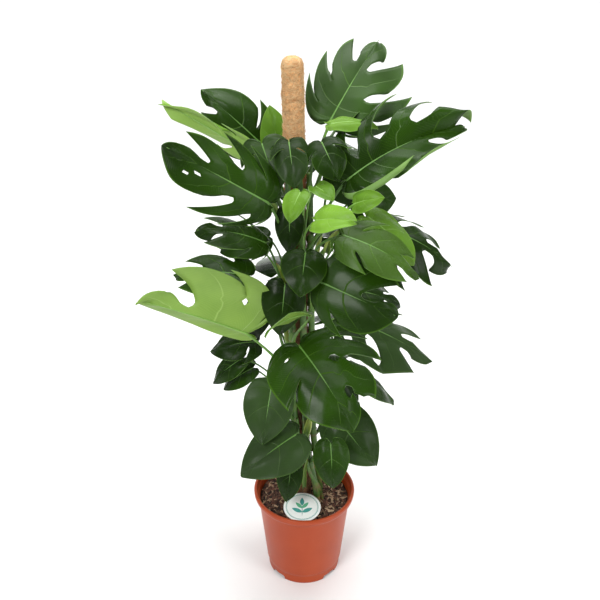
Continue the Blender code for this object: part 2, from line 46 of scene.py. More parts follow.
# Sizes shared with the CAD model, in metres
POT_HEIGHT = 0.230
LIP_RADIUS = 0.120
NECK_HEIGHT = 0.214
NECK_RADIUS = 0.109
STEP_HEIGHT = 0.027
BODY_FOOT_RADIUS = 0.0915
FOOT_RADIUS = 0.0880
FLOOR_UNDERSIDE = 0.010
FLOOR_TOP = 0.0125
FOOT_PAD_RADIUS = 0.030
SOIL_TOP = 0.207
LEAN = -0.0195
POLE_TOP = 1.250
SLEEVE_RADIUS = 0.0212
STEMS = {"stem_left": (205, 243), "stem_right": (325, 290), "stem_side": (12, -20), "stem_back": (95, 85)}
STEM_WINDING = 0.22
STEM_RADIUS = 0.0075
STEM_FOOT = 0.160
STEM_TOP = 1.030
STEM_SPREAD = 0.012
STEM_OFFSET = SLEEVE_RADIUS + STEM_RADIUS + 0.0010
FIRST_NODE = SOIL_TOP + 0.012
LAST_NODE = STEM_TOP - 0.030
NODE_DROP = 0.13
NODE_SPACING = 0.020
LABEL_CENTRE = (-0.005, -0.0675, 0.2275)
LABEL_RADIUS = 0.0435
LABEL_TILT = math.radians(6)
STALK_RADIUS = 0.0036
FAN = 0.30
VEIN_REACH = 0.86
VEIN_CROWDING = 2.3
SLIT_SPAN = (0.37, 0.87)
MARGIN = np.array(
    [(0.02, -0.06), (0.13, -0.20), (0.35, -0.19), (0.50, 0.04), (0.485, 0.36), (0.29, 0.71), (0.0, 1.0)]
)

LEAF_THICKNESS = 0.0009
VEIN_HEIGHT = 0.0007
QUILT = 0.012  # how far the blade rises between side veins, in leaf lengths
MARGIN_WAVES = 2.6
CURLED_SHARE = 0.42  # of the half-width
FIRST_LOBES = (0.13, 0.25)  # unslit divisions of the blade below the slits
COLUMNS = np.array(
    [0, 0.012, 0.03, 0.06, 0.10, 0.15, 0.20, 0.26, 0.32, 0.38, 0.44, 0.50, 0.56, 0.62, 0.68, 0.74]
    + [0.80, 0.86, 0.91, 0.95, 0.98, 1.0]
)
VEIN_ROWS = np.array([0, 0.12, 0.27, 0.40, 0.465, 0.5, 0.535, 0.60, 0.73, 0.88, 1.0])

Leaf = namedtuple("Leaf", "stem base tip face width slits droop fold tone", defaults=(0.10, "mature"))

# base and tip are the ends of the midrib in centimetres, face is the way the upper side looks, width
# is a share of the length, slits are counted on one side, droop bends the midrib by so many degrees
# and fold is how steeply the two halves rise from it
LEAVES = (
    # the crown
    Leaf("stem_back", (5, 4, 112), (15, 16, 125), (-1, -3, 1), 0.80, 4, 20, 0.20),
    Leaf("stem_side", (8, -7, 104), (31, 0, 112), (0, -1, 2), 0.55, 5, 50, -0.10),
    Leaf("stem_side", (5, -2, 113), (14, -1, 112), (0, -1, 3), 0.40, 0, 40, 0.30, "young"),
    Leaf("stem_left", (-5, 5, 105), (-7, 7, 114), (0, -2, 1), 0.60, 0, 20, 0.30, "young"),
    Leaf("stem_left", (-11, 2, 106), (-28, 6, 115), (0, 2, 1), 0.35, 1, 10, 0.20, "young"),
    Leaf("stem_back", (-9, 8, 106), (-21, 12, 116), (0, -2, 1), 0.68, 2, 20, 0.15),
    Leaf("stem_left", (-7, -11, 101), (-25, -14, 113), (0, -2, 1), 0.54, 4, 15),
    Leaf("stem_left", (-8, -5, 110), (-5, -9, 102), (0, -2, 1), 0.80, 1, 30, 0.15),
    Leaf("stem_left", (-3, -7, 111), (-2, -12, 104), (0, -1, 1), 0.66, 1, 40, 0.15),
    Leaf("stem_right", (3, -7, 111), (6, -11, 105), (0, -1, 1), 0.75, 1, 40, 0.15),
    # young leaves in the middle of the crown
    Leaf("stem_right", (-1, -14, 104), (-3, -18, 100), (-1, -2, 1), 0.80, 0, 30, 0.20, "young"),
    Leaf("stem_right", (2, -11, 104), (5, -15, 103), (0, -1, 2), 0.80, 0, 30, 0.20, "young"),
    Leaf("stem_right", (2, -17, 100), (9, -20, 101), (0, -2, 3), 0.80, 0, 40, 0.30, "young"),
    Leaf("stem_right", (9, -14, 102), (14, -16, 104), (0, -1, 1), 0.70, 0, 40, 0.20, "young"),
    # the right side, from the top down
    Leaf("stem_back", (10, 5, 95), (19, 8, 94), (0, -2, 1), 0.90, 2, 40),
    Leaf("stem_side", (13, -3, 93), (30, -5, 84), (0, -1, 2), 0.70, 4, 50, -0.10),
    Leaf("stem_side", (12, -9, 97), (21, -13, 89), (0, -1, 2), 0.60, 0, 40, 0.10, "young"),
    Leaf("stem_right", (7, -17, 97), (21, -20, 90), (0, -1, 2), 0.65, 1, 40, 0.15),
    Leaf("stem_side", (3, -16, 87), (17, -22, 83), (0, -2, 1), 0.85, 2, 20),
    Leaf("stem_side", (9, 7, 73), (22, 10, 67), (0, -1, 2), 0.70, 3, 40),
    Leaf("stem_side", (8, -2, 71), (27, -5, 62), (0, -1, 2), 0.70, 4, 40, -0.10),
    Leaf("stem_back", (7, 8, 53), (22, 10, 40), (1, 0, 2), 0.60, 2, 40),
    Leaf("stem_side", (6, 1, 53), (12, 0, 46), (0, -1, 1), 0.80, 0, 40),
    Leaf("stem_side", (7, -6, 48), (16, -12, 39), (0, -2, 1), 0.75, 0, 30),
    # the front
    Leaf("stem_right", (0, -14, 92), (-1, -20, 86), (0, -2, 1), 0.90, 0, 40),
    Leaf("stem_left", (-1, -16.5, 73), (9, -30, 63), (0, -1, 2), 0.86, 4, 40),
    Leaf("stem_left", (0, -15, 79.5), (-8, -19, 77), (0, 1, 1), 0.50, 0, 40, 0.30, "young"),
    Leaf("stem_right", (5.5, -14, 47), (6, -18, 38), (0, -2, 1), 0.70, 0, 30),
    Leaf("stem_left", (-3, -7, 36), (-4, -10, 27), (0, -2, 1), 0.55, 0, 30),
    Leaf("stem_left", (-4, -8, 82), (-5, -11, 72), (0, -2, 1), 0.75, 0, 30),
    # the left side, from the top down
    Leaf("stem_left", (-8, -7, 91), (-21, -10, 95), (0, -1, 2), 0.65, 3, 40),
    Leaf("stem_back", (-8, 6, 86), (-18, 5, 83), (0, -1, 2), 0.70, 1, 40),
    Leaf("stem_back", (-13, 9, 84), (-14, 8, 78), (0, -2, 1), 0.50, 0, 20, 0.20, "young"),
    Leaf("stem_back", (-12, 2, 79), (-28, 4, 78), (0, -1, 2), 0.70, 3, 40),
    Leaf("stem_left", (-12, -8, 71), (-33, -12, 81), (0, 3, 1), 0.75, 3, 10, 0.80, "young"),
    Leaf("stem_left", (-9, -1, 75), (-11, -3, 66), (-1, -2, 1), 0.60, 0, 30),
    Leaf("stem_back", (-11, 3, 62), (-21, 2, 60), (0, -1, 2), 0.80, 1, 40),
    Leaf("stem_back", (-14, 4, 57), (-21, 4, 50), (0, -1, 2), 0.50, 0, 40, 0.20),
    Leaf("stem_back", (-12, 6, 53), (-19, 6, 47), (0, -1, 2), 0.60, 0, 40, 0.20),
    Leaf("stem_left", (-7, -10, 59), (-9, -16, 48), (0, -2, 1), 0.80, 0, 30),
    Leaf("stem_left", (-2, -12, 48), (-13.5, -18.5, 42), (0, -1, 2), 0.75, 0, 30),
    # the back
    Leaf("stem_back", (4, 13, 100), (9, 33, 96), (0, 1, 3), 0.80, 4, 50),
    Leaf("stem_back", (-6, 14, 92), (-19, 30, 87), (0, 1, 3), 0.75, 4, 50),
    Leaf("stem_back", (8, 14, 82), (24, 28, 77), (1, 1, 3), 0.75, 4, 50),
    Leaf("stem_back", (-2, 15, 74), (-6, 33, 66), (0, 1, 2), 0.80, 3, 50),
    Leaf("stem_back", (6, 14, 61), (14, 28, 52), (0, 1, 2), 0.80, 2, 50),
    Leaf("stem_back", (-8, 14, 63), (-18, 26, 54), (0, 1, 2), 0.75, 2, 50),
    Leaf("stem_back", (0, 11, 42), (3, 22, 34), (0, 2, 1), 0.80, 0, 40),
    # deep in the crown
    Leaf("stem_left", (-3, -8, 98), (-3, -10.5, 90), (0, -2, 1), 0.50, 0, 30),
    Leaf("stem_side", (7, 1, 103), (11, 1, 95), (0, -2, 1), 0.80, 0, 30),
)
# How single leaves differ. left and right are the halves seen with the tip up, with one entry for each place
# from the base to the tip: () is whole, None is as grown, (root, half-width) is a slit, (root, end, half-width)
# a hole, and a list holds several
# value scales a leaf's colour: partly a random tone, partly painted shade (below 1) on leaves deep in the crown and
# painted light (above 1) on leaves turned to the top light
LOOKS = {
    1: dict(
        painted_sheen=0.5, value=1.25, tilt=0.06, reach=(0.9, 1.25), forward=0.22, corner=(0.26, -0.05),
        left=((), (0.8, 0.05), (0.62, 0.1), (0.38, 0.16)),
        right=((0.44, 0.1), (0.38, 0.16), (0.38, 0.16), (0.26, 0.14)),
    ),
    2: dict(
        tilt=0.05, drop=0.04, half_drop=(-0.12, 0), hump=(0.14, 0), curl=(0, 165), reach=(1.65, 0.95), forward=0.2,
        corner=(0.3, -0.04),
        left=((0.26, 0.26), (0.15, 0.28), (0.15, 0.3), (0.2, 0.32), (0.26, 0.3)),
        right=((), (), (0.8, 0.06), (), (0.38, 0.16)),
    ),
    3: dict(warmth=0.4, wave=0.03),
    4: dict(warmth=0.15),
    5: dict(warmth=0.3, wave=0.03, curl=(0, 70)),
    6: dict(
        left=(None, (0.32, 0.13), (0.44, 0.14)),
        right=(None, (0.3, 0.08)),
    ),
    7: dict(
        value=0.9, tilt=0.06, reach=(1.15, 1.1), forward=0.22, corner=(0.28, -0.06),
        left=((0.62, 0.08), (0.44, 0.22), (0.32, 0.22), [(0.38, 0.5, 0.1), (0.62, 0.7, 0.08)]),
        right=((), (0.74, 0.06), (0.44, 0.2), (0.32, 0.14)),
    ),
    8: dict(painted_sheen=0.6, value=0.9, grow=1.25, forward=0.04),
    9: dict(painted_sheen=0.3, value=0.7, tilt=0.1, grow=1.25),
    10: dict(value=0.75, tilt=0.1, grow=1.3),
    11: dict(warmth=0.1, curl=(80, 30), tilt=0.1),
    12: dict(curl=(40, 90), wave=0.03),
    13: dict(warmth=0.45, wave=0.03, tilt=0.12, curl=(20, 70)),
    14: dict(warmth=0.1, curl=(60, 30)),
    16: dict(
        tilt=0.1, drop=0.06, half_drop=(0.06, 0.04), corner=(0.3, -0.06), forward=0.24, reach=(1.15, 1.15),
        left=((0.32, 0.16), (0.2, 0.2), (0.2, 0.22), (0.26, 0.2)),
        right=((0.44, 0.1), (0.26, 0.18), (0.2, 0.22), (0.26, 0.2)),
    ),
    17: dict(warmth=0.25, wave=0.02),
    18: dict(
        warmth=0.1, painted_sheen=0.25, value=1.1, forward=0.16, tilt=0.09,
        left=(None, None, (0.62, 0.1)),
        right=((0.68, 0.08), (0.44, 0.12), (0.5, 0.14)),
    ),
    19: dict(
        value=0.9, reach=(1.15, 1), forward=0.22, corner=(0.22, -0.06),
        left=((), (0.56, 0.68, 0.05), (0.1, 0.26)),
        right=((0.68, 0.08), (0.62, 0.1), ()),
    ),
    20: dict(value=0.8),
    21: dict(
        painted_sheen=0.9, value=1.05, tilt=0.1, corner=(0.28, -0.06), forward=0.2, reach=(1, 0.9),
        left=((0.38, 0.14), (0.32, 0.18), (0.26, 0.18), (0.32, 0.18)),
        right=((0.68, 0.1), (0.26, 0.74, 0.22), (0.26, 0.86, 0.18), (0.38, 0.14)),
    ),
    22: dict(painted_sheen=0.3),
    24: dict(painted_sheen=0.4, value=1.05),
    25: dict(value=0.85),
    26: dict(
        tilt=0.07, reach=(1.4, 0.98), wave=0.012, arch=0.06, forward=0.12, half_drop=(-0.04, 0), value=1.1,
        left=((), (0.44, 0.16), [(0.26, 0.44, 0.14), (0.5, 0.18)], [(0.38, 0.62, 0.14), (0.8, 0.1)]),
        right=((), (0.32, 0.5, 0.06), (0.8, 0.08), ()),
    ),
    28: dict(painted_sheen=0.1),
    30: dict(value=0.6),
    31: dict(
        tilt=0.1, value=0.85, forward=0.2, corner=(0.28, -0.06),
        left=(None, (0.56, 0.12), (0.38, 0.14)),
        right=((), (0.44, 0.1), (0.38, 0.14)),
    ),
    32: dict(forward=0.18),
    34: dict(
        forward=0.22, corner=(0.28, -0.06),
        left=((), (), (0.5, 0.12)),
        right=((), (0.44, 0.18), (0.3, 0.18)),
    ),
    35: dict(
        warmth=0.1, tilt=0.03, wave=0.006, reach=(1.4, 0.55), corner=(0.24, -0.04), arch=0.16, forward=0.14,
        left=((0.2, 0.08), [(0.32, 0.44, 0.12), (0.8, 0.05)], (0.15, 0.2)),
        right=((), (), ()),
    ),
    # painted shade: a leaf deep in the shade of the crown, darkened
    36: dict(value=0.35),
    37: dict(value=0.8),
    40: dict(painted_sheen=0.8, value=0.95, grow=1.02),
    41: dict(painted_sheen=0.85, value=0.95, grow=1.08),
    # painted shade: leaves deep in the crown, darkened
    49: dict(value=0.6, grow=1.3),
    50: dict(value=0.7, grow=1.3),
}


def smooth(share):
    """0 to 1 with a level start and end."""
    share = np.clip(share, 0.0, 1.0)
    return share * share * (3 - 2 * share)


def unit(vector):
    return vector / np.linalg.norm(vector, axis=-1, keepdims=True)


def along_curve(points, share):
    """Points at shares from 0 to 1 of a smooth curve through evenly spaced points."""
    place = np.asarray(share, float) * (len(points) - 1)
    first = np.clip(place.astype(int), 0, len(points) - 2)
    t = (place - first)[..., None]
    a, b, c, d = (points[np.clip(first + k, 0, len(points) - 1)] for k in (-1, 0, 1, 2))
    return 0.5 * (2 * b + (c - a) * t + (2 * a - 5 * b + 4 * c - d) * t**2 + (3 * b - a - 3 * c + d) * t**3)


def round_direction(azimuth):
    turn = np.radians(azimuth)
    return np.stack([np.cos(turn), np.sin(turn), np.zeros_like(turn)], axis=-1)


def on_axis(height):
    height = np.asarray(height, float)
    return np.stack([LEAN * height, np.zeros_like(height), height], axis=-1)


def stem_azimuth(stem, height):
    low, high = STEMS[stem]
    return low + (high - low) * smooth((height - SOIL_TOP) / STEM_WINDING)


def on_stem(stem, height):
    """The middle of a stem at a height."""
    spread = STEM_SPREAD * (1 - smooth((height - SOIL_TOP) / STEM_WINDING))
    return on_axis(height) + round_direction(stem_azimuth(stem, height)) * np.asarray(STEM_OFFSET + spread)[..., None]


def vein_start(s):
    return VEIN_REACH * np.maximum(0.0, (s - FAN) / (1 - FAN)) ** VEIN_CROWDING


def blade_frame(leaf):
    """The blade's own axes: across, along the midrib and out of the upper side."""
    base, tip = np.array(leaf.base) * CM, np.array(leaf.tip) * CM
    along = unit(tip - base)
    out = np.array(leaf.face, float)
    out = unit(out - along * out.dot(along))
    return base, np.linalg.norm(tip - base), np.cross(along, out), along, out


def place_on_blade(leaf, x, y, lift=0.0):
    """Bend points of the flat blade into place. The midrib is an arc from the base to the tip."""
    base, length, across, along, out = blade_frame(leaf)
    x, y = np.asarray(x, float), np.asarray(y, float)
    bend = math.radians(max(leaf.droop, 1))
    radius = length / (2 * math.sin(bend / 2))
    angle = bend * (y - 0.5)
    forward = radius * (np.sin(angle) + math.sin(bend / 2))
    rise = radius * (np.cos(angle) - math.cos(bend / 2))
    side = x * length
    fold = leaf.fold * np.abs(side) - 0.9 * leaf.fold * side * side / length - 0.35 * side * side / length
    normal = np.cos(angle)[..., None] * out + np.sin(angle)[..., None] * along
    lifted = (fold + lift)[..., None] * normal
    return base + side[..., None] * across + forward[..., None] * along + rise[..., None] * out + lifted


class Shape:
    """Points, faces, material numbers and pattern coordinates gathered for one mesh."""

    def __init__(self):
        self.points, self.marks, self.faces, self.slots, self.flat = [], [], [], [], []
        self.count = 0

    def add(self, points, faces, slot=0, marks=None, flat=False):
        points = np.asarray(points, float).reshape(-1, 3)
        marks = np.zeros((len(points), 3)) if marks is None else np.asarray(marks, float).reshape(-1, 3)
        start = self.count
        self.points.append(points)
        self.marks.append(marks)
        self.faces += [tuple(int(v) + start for v in face) for face in faces]
        self.slots += [slot] * len(faces)
        self.flat += [flat] * len(faces)
        self.count += len(points)

    def make(self, name, materials, tint=None):
        mesh = bpy.data.meshes.new(name)
        mesh.from_pydata(np.concatenate(self.points).tolist(), [], self.faces)
        for made in materials:
            mesh.materials.append(made)
        mesh.polygons.foreach_set("material_index", self.slots)
        mesh.polygons.foreach_set("use_smooth", [not flat for flat in self.flat])
        place = mesh.attributes.new("place", "FLOAT_VECTOR", "POINT")
        place.data.foreach_set("vector", np.concatenate(self.marks).astype(np.float32).ravel())
        if tint is not None:
            shade = mesh.attributes.new("tint", "FLOAT_VECTOR", "POINT")
            shade.data.foreach_set("vector", np.tile(np.array(tint, np.float32), self.count))
        mesh.update()
        mesh.validate()
        piece = bpy.data.objects.new(name, mesh)
        bpy.context.scene.collection.objects.link(piece)
        return piece


def grid_faces(rows, columns, closed=False):
    """Quads between rows of points, each row with so many points, joined round if closed."""
    faces = []
    for row in range(rows - 1):
        for column in range(columns if closed else columns - 1):
            after = (column + 1) % columns
            low, high = row * columns, (row + 1) * columns
            faces.append((low + column, low + after, high + after, high + column))
    return faces


def sweep(shape, path, radii, sides, slot=0, marks=None):
    """A round rod along a path, which twists as little as it can, closed at both ends."""
    path = np.asarray(path, float)
    radii = np.asarray(radii, float)
    tangents = unit(np.gradient(path, axis=0))
    side = np.cross(tangents[0], UP if abs(tangents[0][2]) < 0.9 else np.array((1.0, 0, 0)))
    rings = []
    turns = np.linspace(0, 2 * math.pi, sides, endpoint=False)
    for point, tangent, radius in zip(path, tangents, radii):
        side = unit(side - tangent * side.dot(tangent))
        other = np.cross(tangent, side)
        ring = np.cos(turns)[:, None] * side + np.sin(turns)[:, None] * other
        rings.append(point + ring * radius)
    points = np.concatenate(rings)
    count = len(path)
    if marks is None:
        marks = np.zeros((count, 3))
        marks[:, 2] = np.linspace(0, 1, count)
    marks = np.repeat(np.asarray(marks, float), sides, axis=0)
    faces = grid_faces(count, sides, closed=True)
    faces.append(tuple(range(sides))[::-1])
    faces.append(tuple(range((count - 1) * sides, count * sides)))
    shape.add(points, faces, slot, marks)


def in_first(values):
    """Pattern coordinates with these values in the first place."""
    return np.pad(np.reshape(values, (-1, 1)), ((0, 0), (0, 2)))


def vertex_normals(points, faces):
    normals = np.zeros_like(points)
    for size in (3, 4):
        chosen = np.array([face for face in faces if len(face) == size], int)
        if not len(chosen):
            continue
        corners = points[chosen]
        across = corners[:, 2] - corners[:, 0]
        other = corners[:, 1] - corners[:, 0] if size == 3 else corners[:, 3] - corners[:, 1]
        facing = np.cross(other, across) if size == 3 else np.cross(across, other)
        for corner in range(size):
            np.add.at(normals, chosen[:, corner], facing)
    lengths = np.linalg.norm(normals, axis=1, keepdims=True)
    return normals / np.maximum(lengths, 1e-12)


def cut_gap(cuts, u):
    """Half of the gap that the cuts at one division leave at each column, in lobe widths."""
    gap = np.zeros_like(u)
    for root, end, wide in cuts:
        if end >= 1:
            share = np.clip((u - root) / (1 - root), 0, 1)
            gap += wide * np.sqrt(np.clip((u - root) / 0.12, 0, 1)) * (0.75 + 0.25 * share)
        else:
            middle, half = (root + end) / 2, (end - root) / 2
            gap += wide * np.sqrt(np.clip(1 - ((u - middle) / half) ** 2, 0, 1))
    return gap


def snap(u):
    return float(COLUMNS[np.abs(COLUMNS - u).argmin()])


def default_cuts(leaf, chance):
    """Slits on both sides of a leaf old enough to have them, keyed by (side, place)."""
    cuts = {}
    for side in (-1, 1):
        for place in range(leaf.slits):
            root = snap(0.26 + 0.12 * chance.random())
            cuts[side, place] = [(root, 1, 0.075 + 0.05 * chance.random())]
    if leaf.slits == 1:
        for side in (-1, 1):
            cuts[side, 1] = cuts.pop((side, 0))
    return cuts


def leaf_cuts(leaf, look, chance):
    cuts = default_cuts(leaf, chance)
    for side in (-1, 1):
        for place, listed in enumerate(look["right" if side > 0 else "left"]):
            if listed is not None:
                several = listed if isinstance(listed, list) else [listed] if listed else []
                cuts[side, place] = [(cut[0], cut[1] if len(cut) == 3 else 1, cut[-1]) for cut in several]
    return cuts


# reach, curl, hump and half_drop have a value for the left half and one for the right
# the sheen share sets how much painted sheen, a grey-green standing in for the reflection of the lamps, lies on a
# leaf's upper side
PLAIN_LOOK = dict(
    left=(), right=(), arch=0.10, corner=(0.20, -0.04), forward=0.10, hump=(0.0, 0.0), curl=(0.0, 0.0), wave=0.012,
    tilt=0.07, drop=0.03, half_drop=(0.0, 0.0), reach=(1.0, 1.0), grow=1.10, value=1.0, painted_sheen=0.0, warmth=0.0,
)


def lobe_surface(leaf, look, side, u, t, s, low_corner, high_corner, phase):
    """Flat places and heights, in leaf lengths, of one lobe whose distal corner may be pulled in."""
    half = int(side > 0)
    pulled = (low_corner * (1 - t) ** 3 + high_corner * t**3) * smooth((u - 0.45) / 0.55)
    reach = u * (1 - pulled)
    margin = along_curve(MARGIN, np.clip(s, 0, 1))
    whole = margin[..., 0] * (leaf.width * look["grow"] * look["reach"][half])
    x = reach * whole
    y = vein_start(s) * (1 - reach) + margin[..., 1] * reach
    y -= look["arch"] * reach * (1 - reach) * 4 * whole * smooth(s / 0.3)
    y += look["forward"] * reach**2 * 4 * s * (1 - s)
    rise = QUILT * np.abs(2 * t - 1) ** 1.4 * np.sin(math.pi * np.minimum(u * 1.05, 1)) ** 0.8
    rise += look["wave"] * u**3 * np.sin(s * 2 * math.pi * MARGIN_WAVES + phase + side)
    rise -= (look["drop"] + look["half_drop"][half]) * smooth((u - 0.15) / 0.85) ** 2 * smooth(s / 0.35)
    rise += look["hump"][half] * np.sin(math.pi * u) * smooth(s / 0.3)
    roll = math.radians(look["curl"][half])
    if roll:
        # the outer part of this half rolls up and in
        rolled = np.maximum(whole * CURLED_SHARE, 0.01)
        turn = np.maximum(x - whole + rolled, 0) * roll / rolled
        x = np.where(turn > 0, whole - rolled + np.sin(turn) * rolled / roll, x)
        rise += (1 - np.cos(turn)) * rolled / roll
    return np.stack([side * x, y], -1), rise


def blade(shape, leaf, look, chance):
    """One leaf blade: lobes of finely divided grid, parted by its slits and holes, bent and thickened."""
    first, last = SLIT_SPAN
    places = max(leaf.slits, 3)
    divisions = [0.0, *FIRST_LOBES, *(first + (last - first) * n / (places - 1) for n in range(places)), 1.0]
    lobe_size = (last - first) / max(places - 1, 3)
    cuts = leaf_cuts(leaf, look, chance)
    flats, lifts, marks, cells = [], [], [], []
    count = 0
    length = blade_frame(leaf)[1]
    phase = chance.random() * 6.28
    t, u = np.meshgrid(VEIN_ROWS, COLUMNS, indexing="ij")
    for side in (-1, 1):
        parted = [cuts.get((side, number - 3), []) for number in range(len(divisions))]
        is_cut = [any(end >= 1 for _root, end, _half in listed) for listed in parted]
        gaps = [cut_gap(listed, COLUMNS) * lobe_size for listed in parted]
        raised = [chance.uniform(-1, 0.6) for _ in divisions]
        for lobe in range(len(divisions) - 1):
            low = divisions[lobe] + gaps[lobe]
            s = low + t * (divisions[lobe + 1] - gaps[lobe + 1] - low)
            low_corner, high_corner = look["corner"][0] * is_cut[lobe], look["corner"][1] * is_cut[lobe + 1]
            flat, lift = lobe_surface(leaf, look, side, u, t, s, low_corner, high_corner, phase)
            low_tilt = chance.uniform(-1, 0.6) if is_cut[lobe] else raised[lobe]
            high_tilt = chance.uniform(-1, 0.6) if is_cut[lobe + 1] else raised[lobe + 1]
            lift += look["tilt"] * (low_tilt * (1 - t) + high_tilt * t) * smooth((u - 0.25) / 0.75) ** 1.5
            flats.append(flat.reshape(-1, 2))
            lifts.append(lift.reshape(-1) * length)
            marks.append(np.stack([side * u, lobe + t, s], -1).reshape(-1, 3))
            for cell in grid_faces(len(VEIN_ROWS), len(COLUMNS)):
                cells.append(tuple(v + count for v in (cell if side > 0 else cell[::-1])))
            count += t.size
    flats, lifts, marks = np.concatenate(flats), np.concatenate(lifts), np.concatenate(marks)
    # neighbouring lobes share their points where no cut parts them
    keys = np.round(flats * 40000).astype(np.int64)
    _, kept, merged = np.unique(keys, axis=0, return_index=True, return_inverse=True)
    merged = merged.reshape(-1).tolist()
    marks = marks[kept]
    faces = [tuple(dict.fromkeys(merged[v] for v in cell)) for cell in cells]
    faces = [face for face in faces if len(face) >= 3]
    thicken(shape, place_on_blade(leaf, flats[kept, 0], flats[kept, 1], lifts[kept]), faces, marks, leaf)


def thicken(shape, middle, faces, marks, leaf):
    """Upper skin, lower skin with the veins standing out, and the rim that joins them round every edge."""
    normals = vertex_normals(middle, faces)
    if np.mean(normals @ blade_frame(leaf)[4]) < 0:
        faces = [face[::-1] for face in faces]
        normals = -normals
    out = np.abs(marks[:, 0])
    ridge = np.exp(-((((marks[:, 1] % 1) - 0.5) / 0.03) ** 2)) * (1 - out) * (out > 0.01)
    shape.add(middle + normals * LEAF_THICKNESS / 2, faces, 0, marks)
    bottom = middle - normals * (LEAF_THICKNESS / 2 + VEIN_HEIGHT * ridge)[:, None]
    shape.add(bottom, [face[::-1] for face in faces], 1, marks)
    edges = dict.fromkeys(edge for face in faces for edge in zip(face, face[1:] + face[:1]))
    size = len(middle)
    start = shape.count - 2 * size
    rims = [(b, a, a + size, b + size) for a, b in edges if (b, a) not in edges]
    shape.faces += [tuple(v + start for v in rim) for rim in rims]
    shape.slots += [2] * len(rims)
    shape.flat += [True] * len(rims)


def bezier(start, first, last, end, steps):
    t = np.linspace(0, 1, steps)[:, None]
    return start * (1 - t) ** 3 + first * 3 * t * (1 - t) ** 2 + last * 3 * t * t * (1 - t) + end * t**3


def stalk(shape, leaf, node):
    """The leaf stalk, from the stem it clasps to the knee under the blade, then on as the midrib."""
    base, length, _across, along, _out = blade_frame(leaf)
    foot = on_stem(leaf.stem, node)
    away = base - foot
    azimuth = stem_azimuth(leaf.stem, node)
    swing = (math.degrees(math.atan2(away[1], away[0])) - azimuth + 180) % 360 - 180
    outward = round_direction(azimuth + min(max(swing, -80), 80))
    start = foot + outward * (STEM_RADIUS + STALK_RADIUS)
    reach = np.linalg.norm(base - start)
    first = start + UP * reach * 0.32 + outward * reach * 0.20
    arriving = unit(unit(base - start) * 0.7 + along * 0.8 + UP * 0.3)
    last = base - arriving * reach * 0.30
    climb = bezier(start, first, last, base, 26)
    root = foot + outward * STEM_RADIUS * 0.45 - UP * 0.006
    ys = np.linspace(0.03, 0.96, 26)
    rib = place_on_blade(leaf, ys * 0, ys, np.full_like(ys, -0.0007))
    path = np.concatenate([root[None], climb, rib])
    sized = STALK_RADIUS * min(1.0, 0.62 + length * 1.8)
    t = np.linspace(0, 1, len(climb))
    radii = sized * (1.15 - 0.45 * smooth(t * 1.3))
    radii *= 1 + 0.28 * np.exp(-(((1 - t) * reach - 0.012) / 0.010) ** 2)
    radii *= 1 + 0.30 * np.exp(-((t * reach) / 0.025) ** 2)
    rib_radii = sized * 0.55 * (1 - ys) ** 0.8 + 0.00035
    marks = np.zeros((len(path), 3))
    marks[:, 2] = np.concatenate([[0], t, 1 + ys])
    sweep(shape, path, np.concatenate([[radii[0]], radii, rib_radii]), 10, 3, marks)


def node_heights(climbing):
    """Where the leaves of one stem, listed from the lowest up, leave it."""
    heights = []
    above = LAST_NODE + NODE_SPACING
    for leaf in reversed(climbing):
        above = min(leaf.base[2] * CM - NODE_DROP, above - NODE_SPACING)
        heights.append(max(above, FIRST_NODE))
    return heights[::-1]


class Finish:
    """A procedural material, put together node by node."""

    def __init__(self, name):
        self.made = bpy.data.materials.new(name)
        self.made.use_nodes = True
        self.tree = self.made.node_tree
        self.shader = self.tree.nodes["Principled BSDF"]

    def set(self, node, sockets):
        for name, value in sockets.items():
            socket = node.inputs[name if isinstance(name, int) else name.replace("_", " ")]
            if isinstance(value, bpy.types.NodeSocket):
                self.tree.links.new(value, socket)
            else:
                socket.default_value = (*value, 1.0) if socket.type == "RGBA" else value

    def node(self, kind, **sockets):
        made = self.tree.nodes.new("ShaderNode" + kind)
        self.set(made, sockets)
        return made

    def math(self, operation, *values, clamp=False):
        made = self.tree.nodes.new("ShaderNodeMath")
        made.operation = operation
        made.use_clamp = clamp
        self.set(made, dict(enumerate(values)))
        return made.outputs[0]

    def linear(self, value, gain, base, clamp=False):
        return self.math("MULTIPLY_ADD", value, gain, base, clamp=clamp)

    def mix(self, share, first, second):
        made = self.tree.nodes.new("ShaderNodeMix")
        made.data_type = "RGBA"
        self.set(made, {0: share, 6: first, 7: second})
        return made.outputs[2]

    def coat(self, share, colour, most=None):
        """Lay another colour over the base by a share, which most scales down."""
        if most is not None:
            share = self.math("MULTIPLY", share, most)
        self.base = self.mix(share, self.base, colour)

    def step(self, value, low, high):
        """0 below low, 1 above high, smooth between; low may be the larger."""
        made = self.tree.nodes.new("ShaderNodeMapRange")
        made.interpolation_type = "SMOOTHSTEP"
        made.clamp = True
        self.set(made, {"Value": value, "From Min": low, "From Max": high})
        return made.outputs["Result"]

    def noise(self, scale, detail=3.0, rough=0.5, where=None, stretch=None):
        where = where or self.node("TexCoord").outputs["Object"]
        if stretch:
            placed = self.node("Mapping", Vector=where)
            placed.inputs["Scale"].default_value = stretch
            where = placed.outputs[0]
        made = self.node("TexNoise", Vector=where, Scale=scale, Detail=detail, Roughness=rough)
        return made.outputs["Fac"]

    def parts(self, attribute):
        mark = self.tree.nodes.new("ShaderNodeAttribute")
        mark.attribute_name = attribute
        split = self.node("SeparateXYZ", Vector=mark.outputs["Vector"])
        return split.outputs

    def height(self):
        return self.node("SeparateXYZ", Vector=self.node("TexCoord").outputs["Object"]).outputs[2]

    def bump(self, height, strength, distance):
        made = self.node("Bump", Height=height, Strength=strength, Distance=distance)
        self.set(self.shader, {"Normal": made.outputs[0]})

    def surface(self, rough, **sockets):
        self.set(self.shader, dict(Base_Color=self.base, Roughness=rough, **sockets))
        return self.made


def scaled(colour, gain):
    return tuple(min(1.0, part * gain) for part in colour)


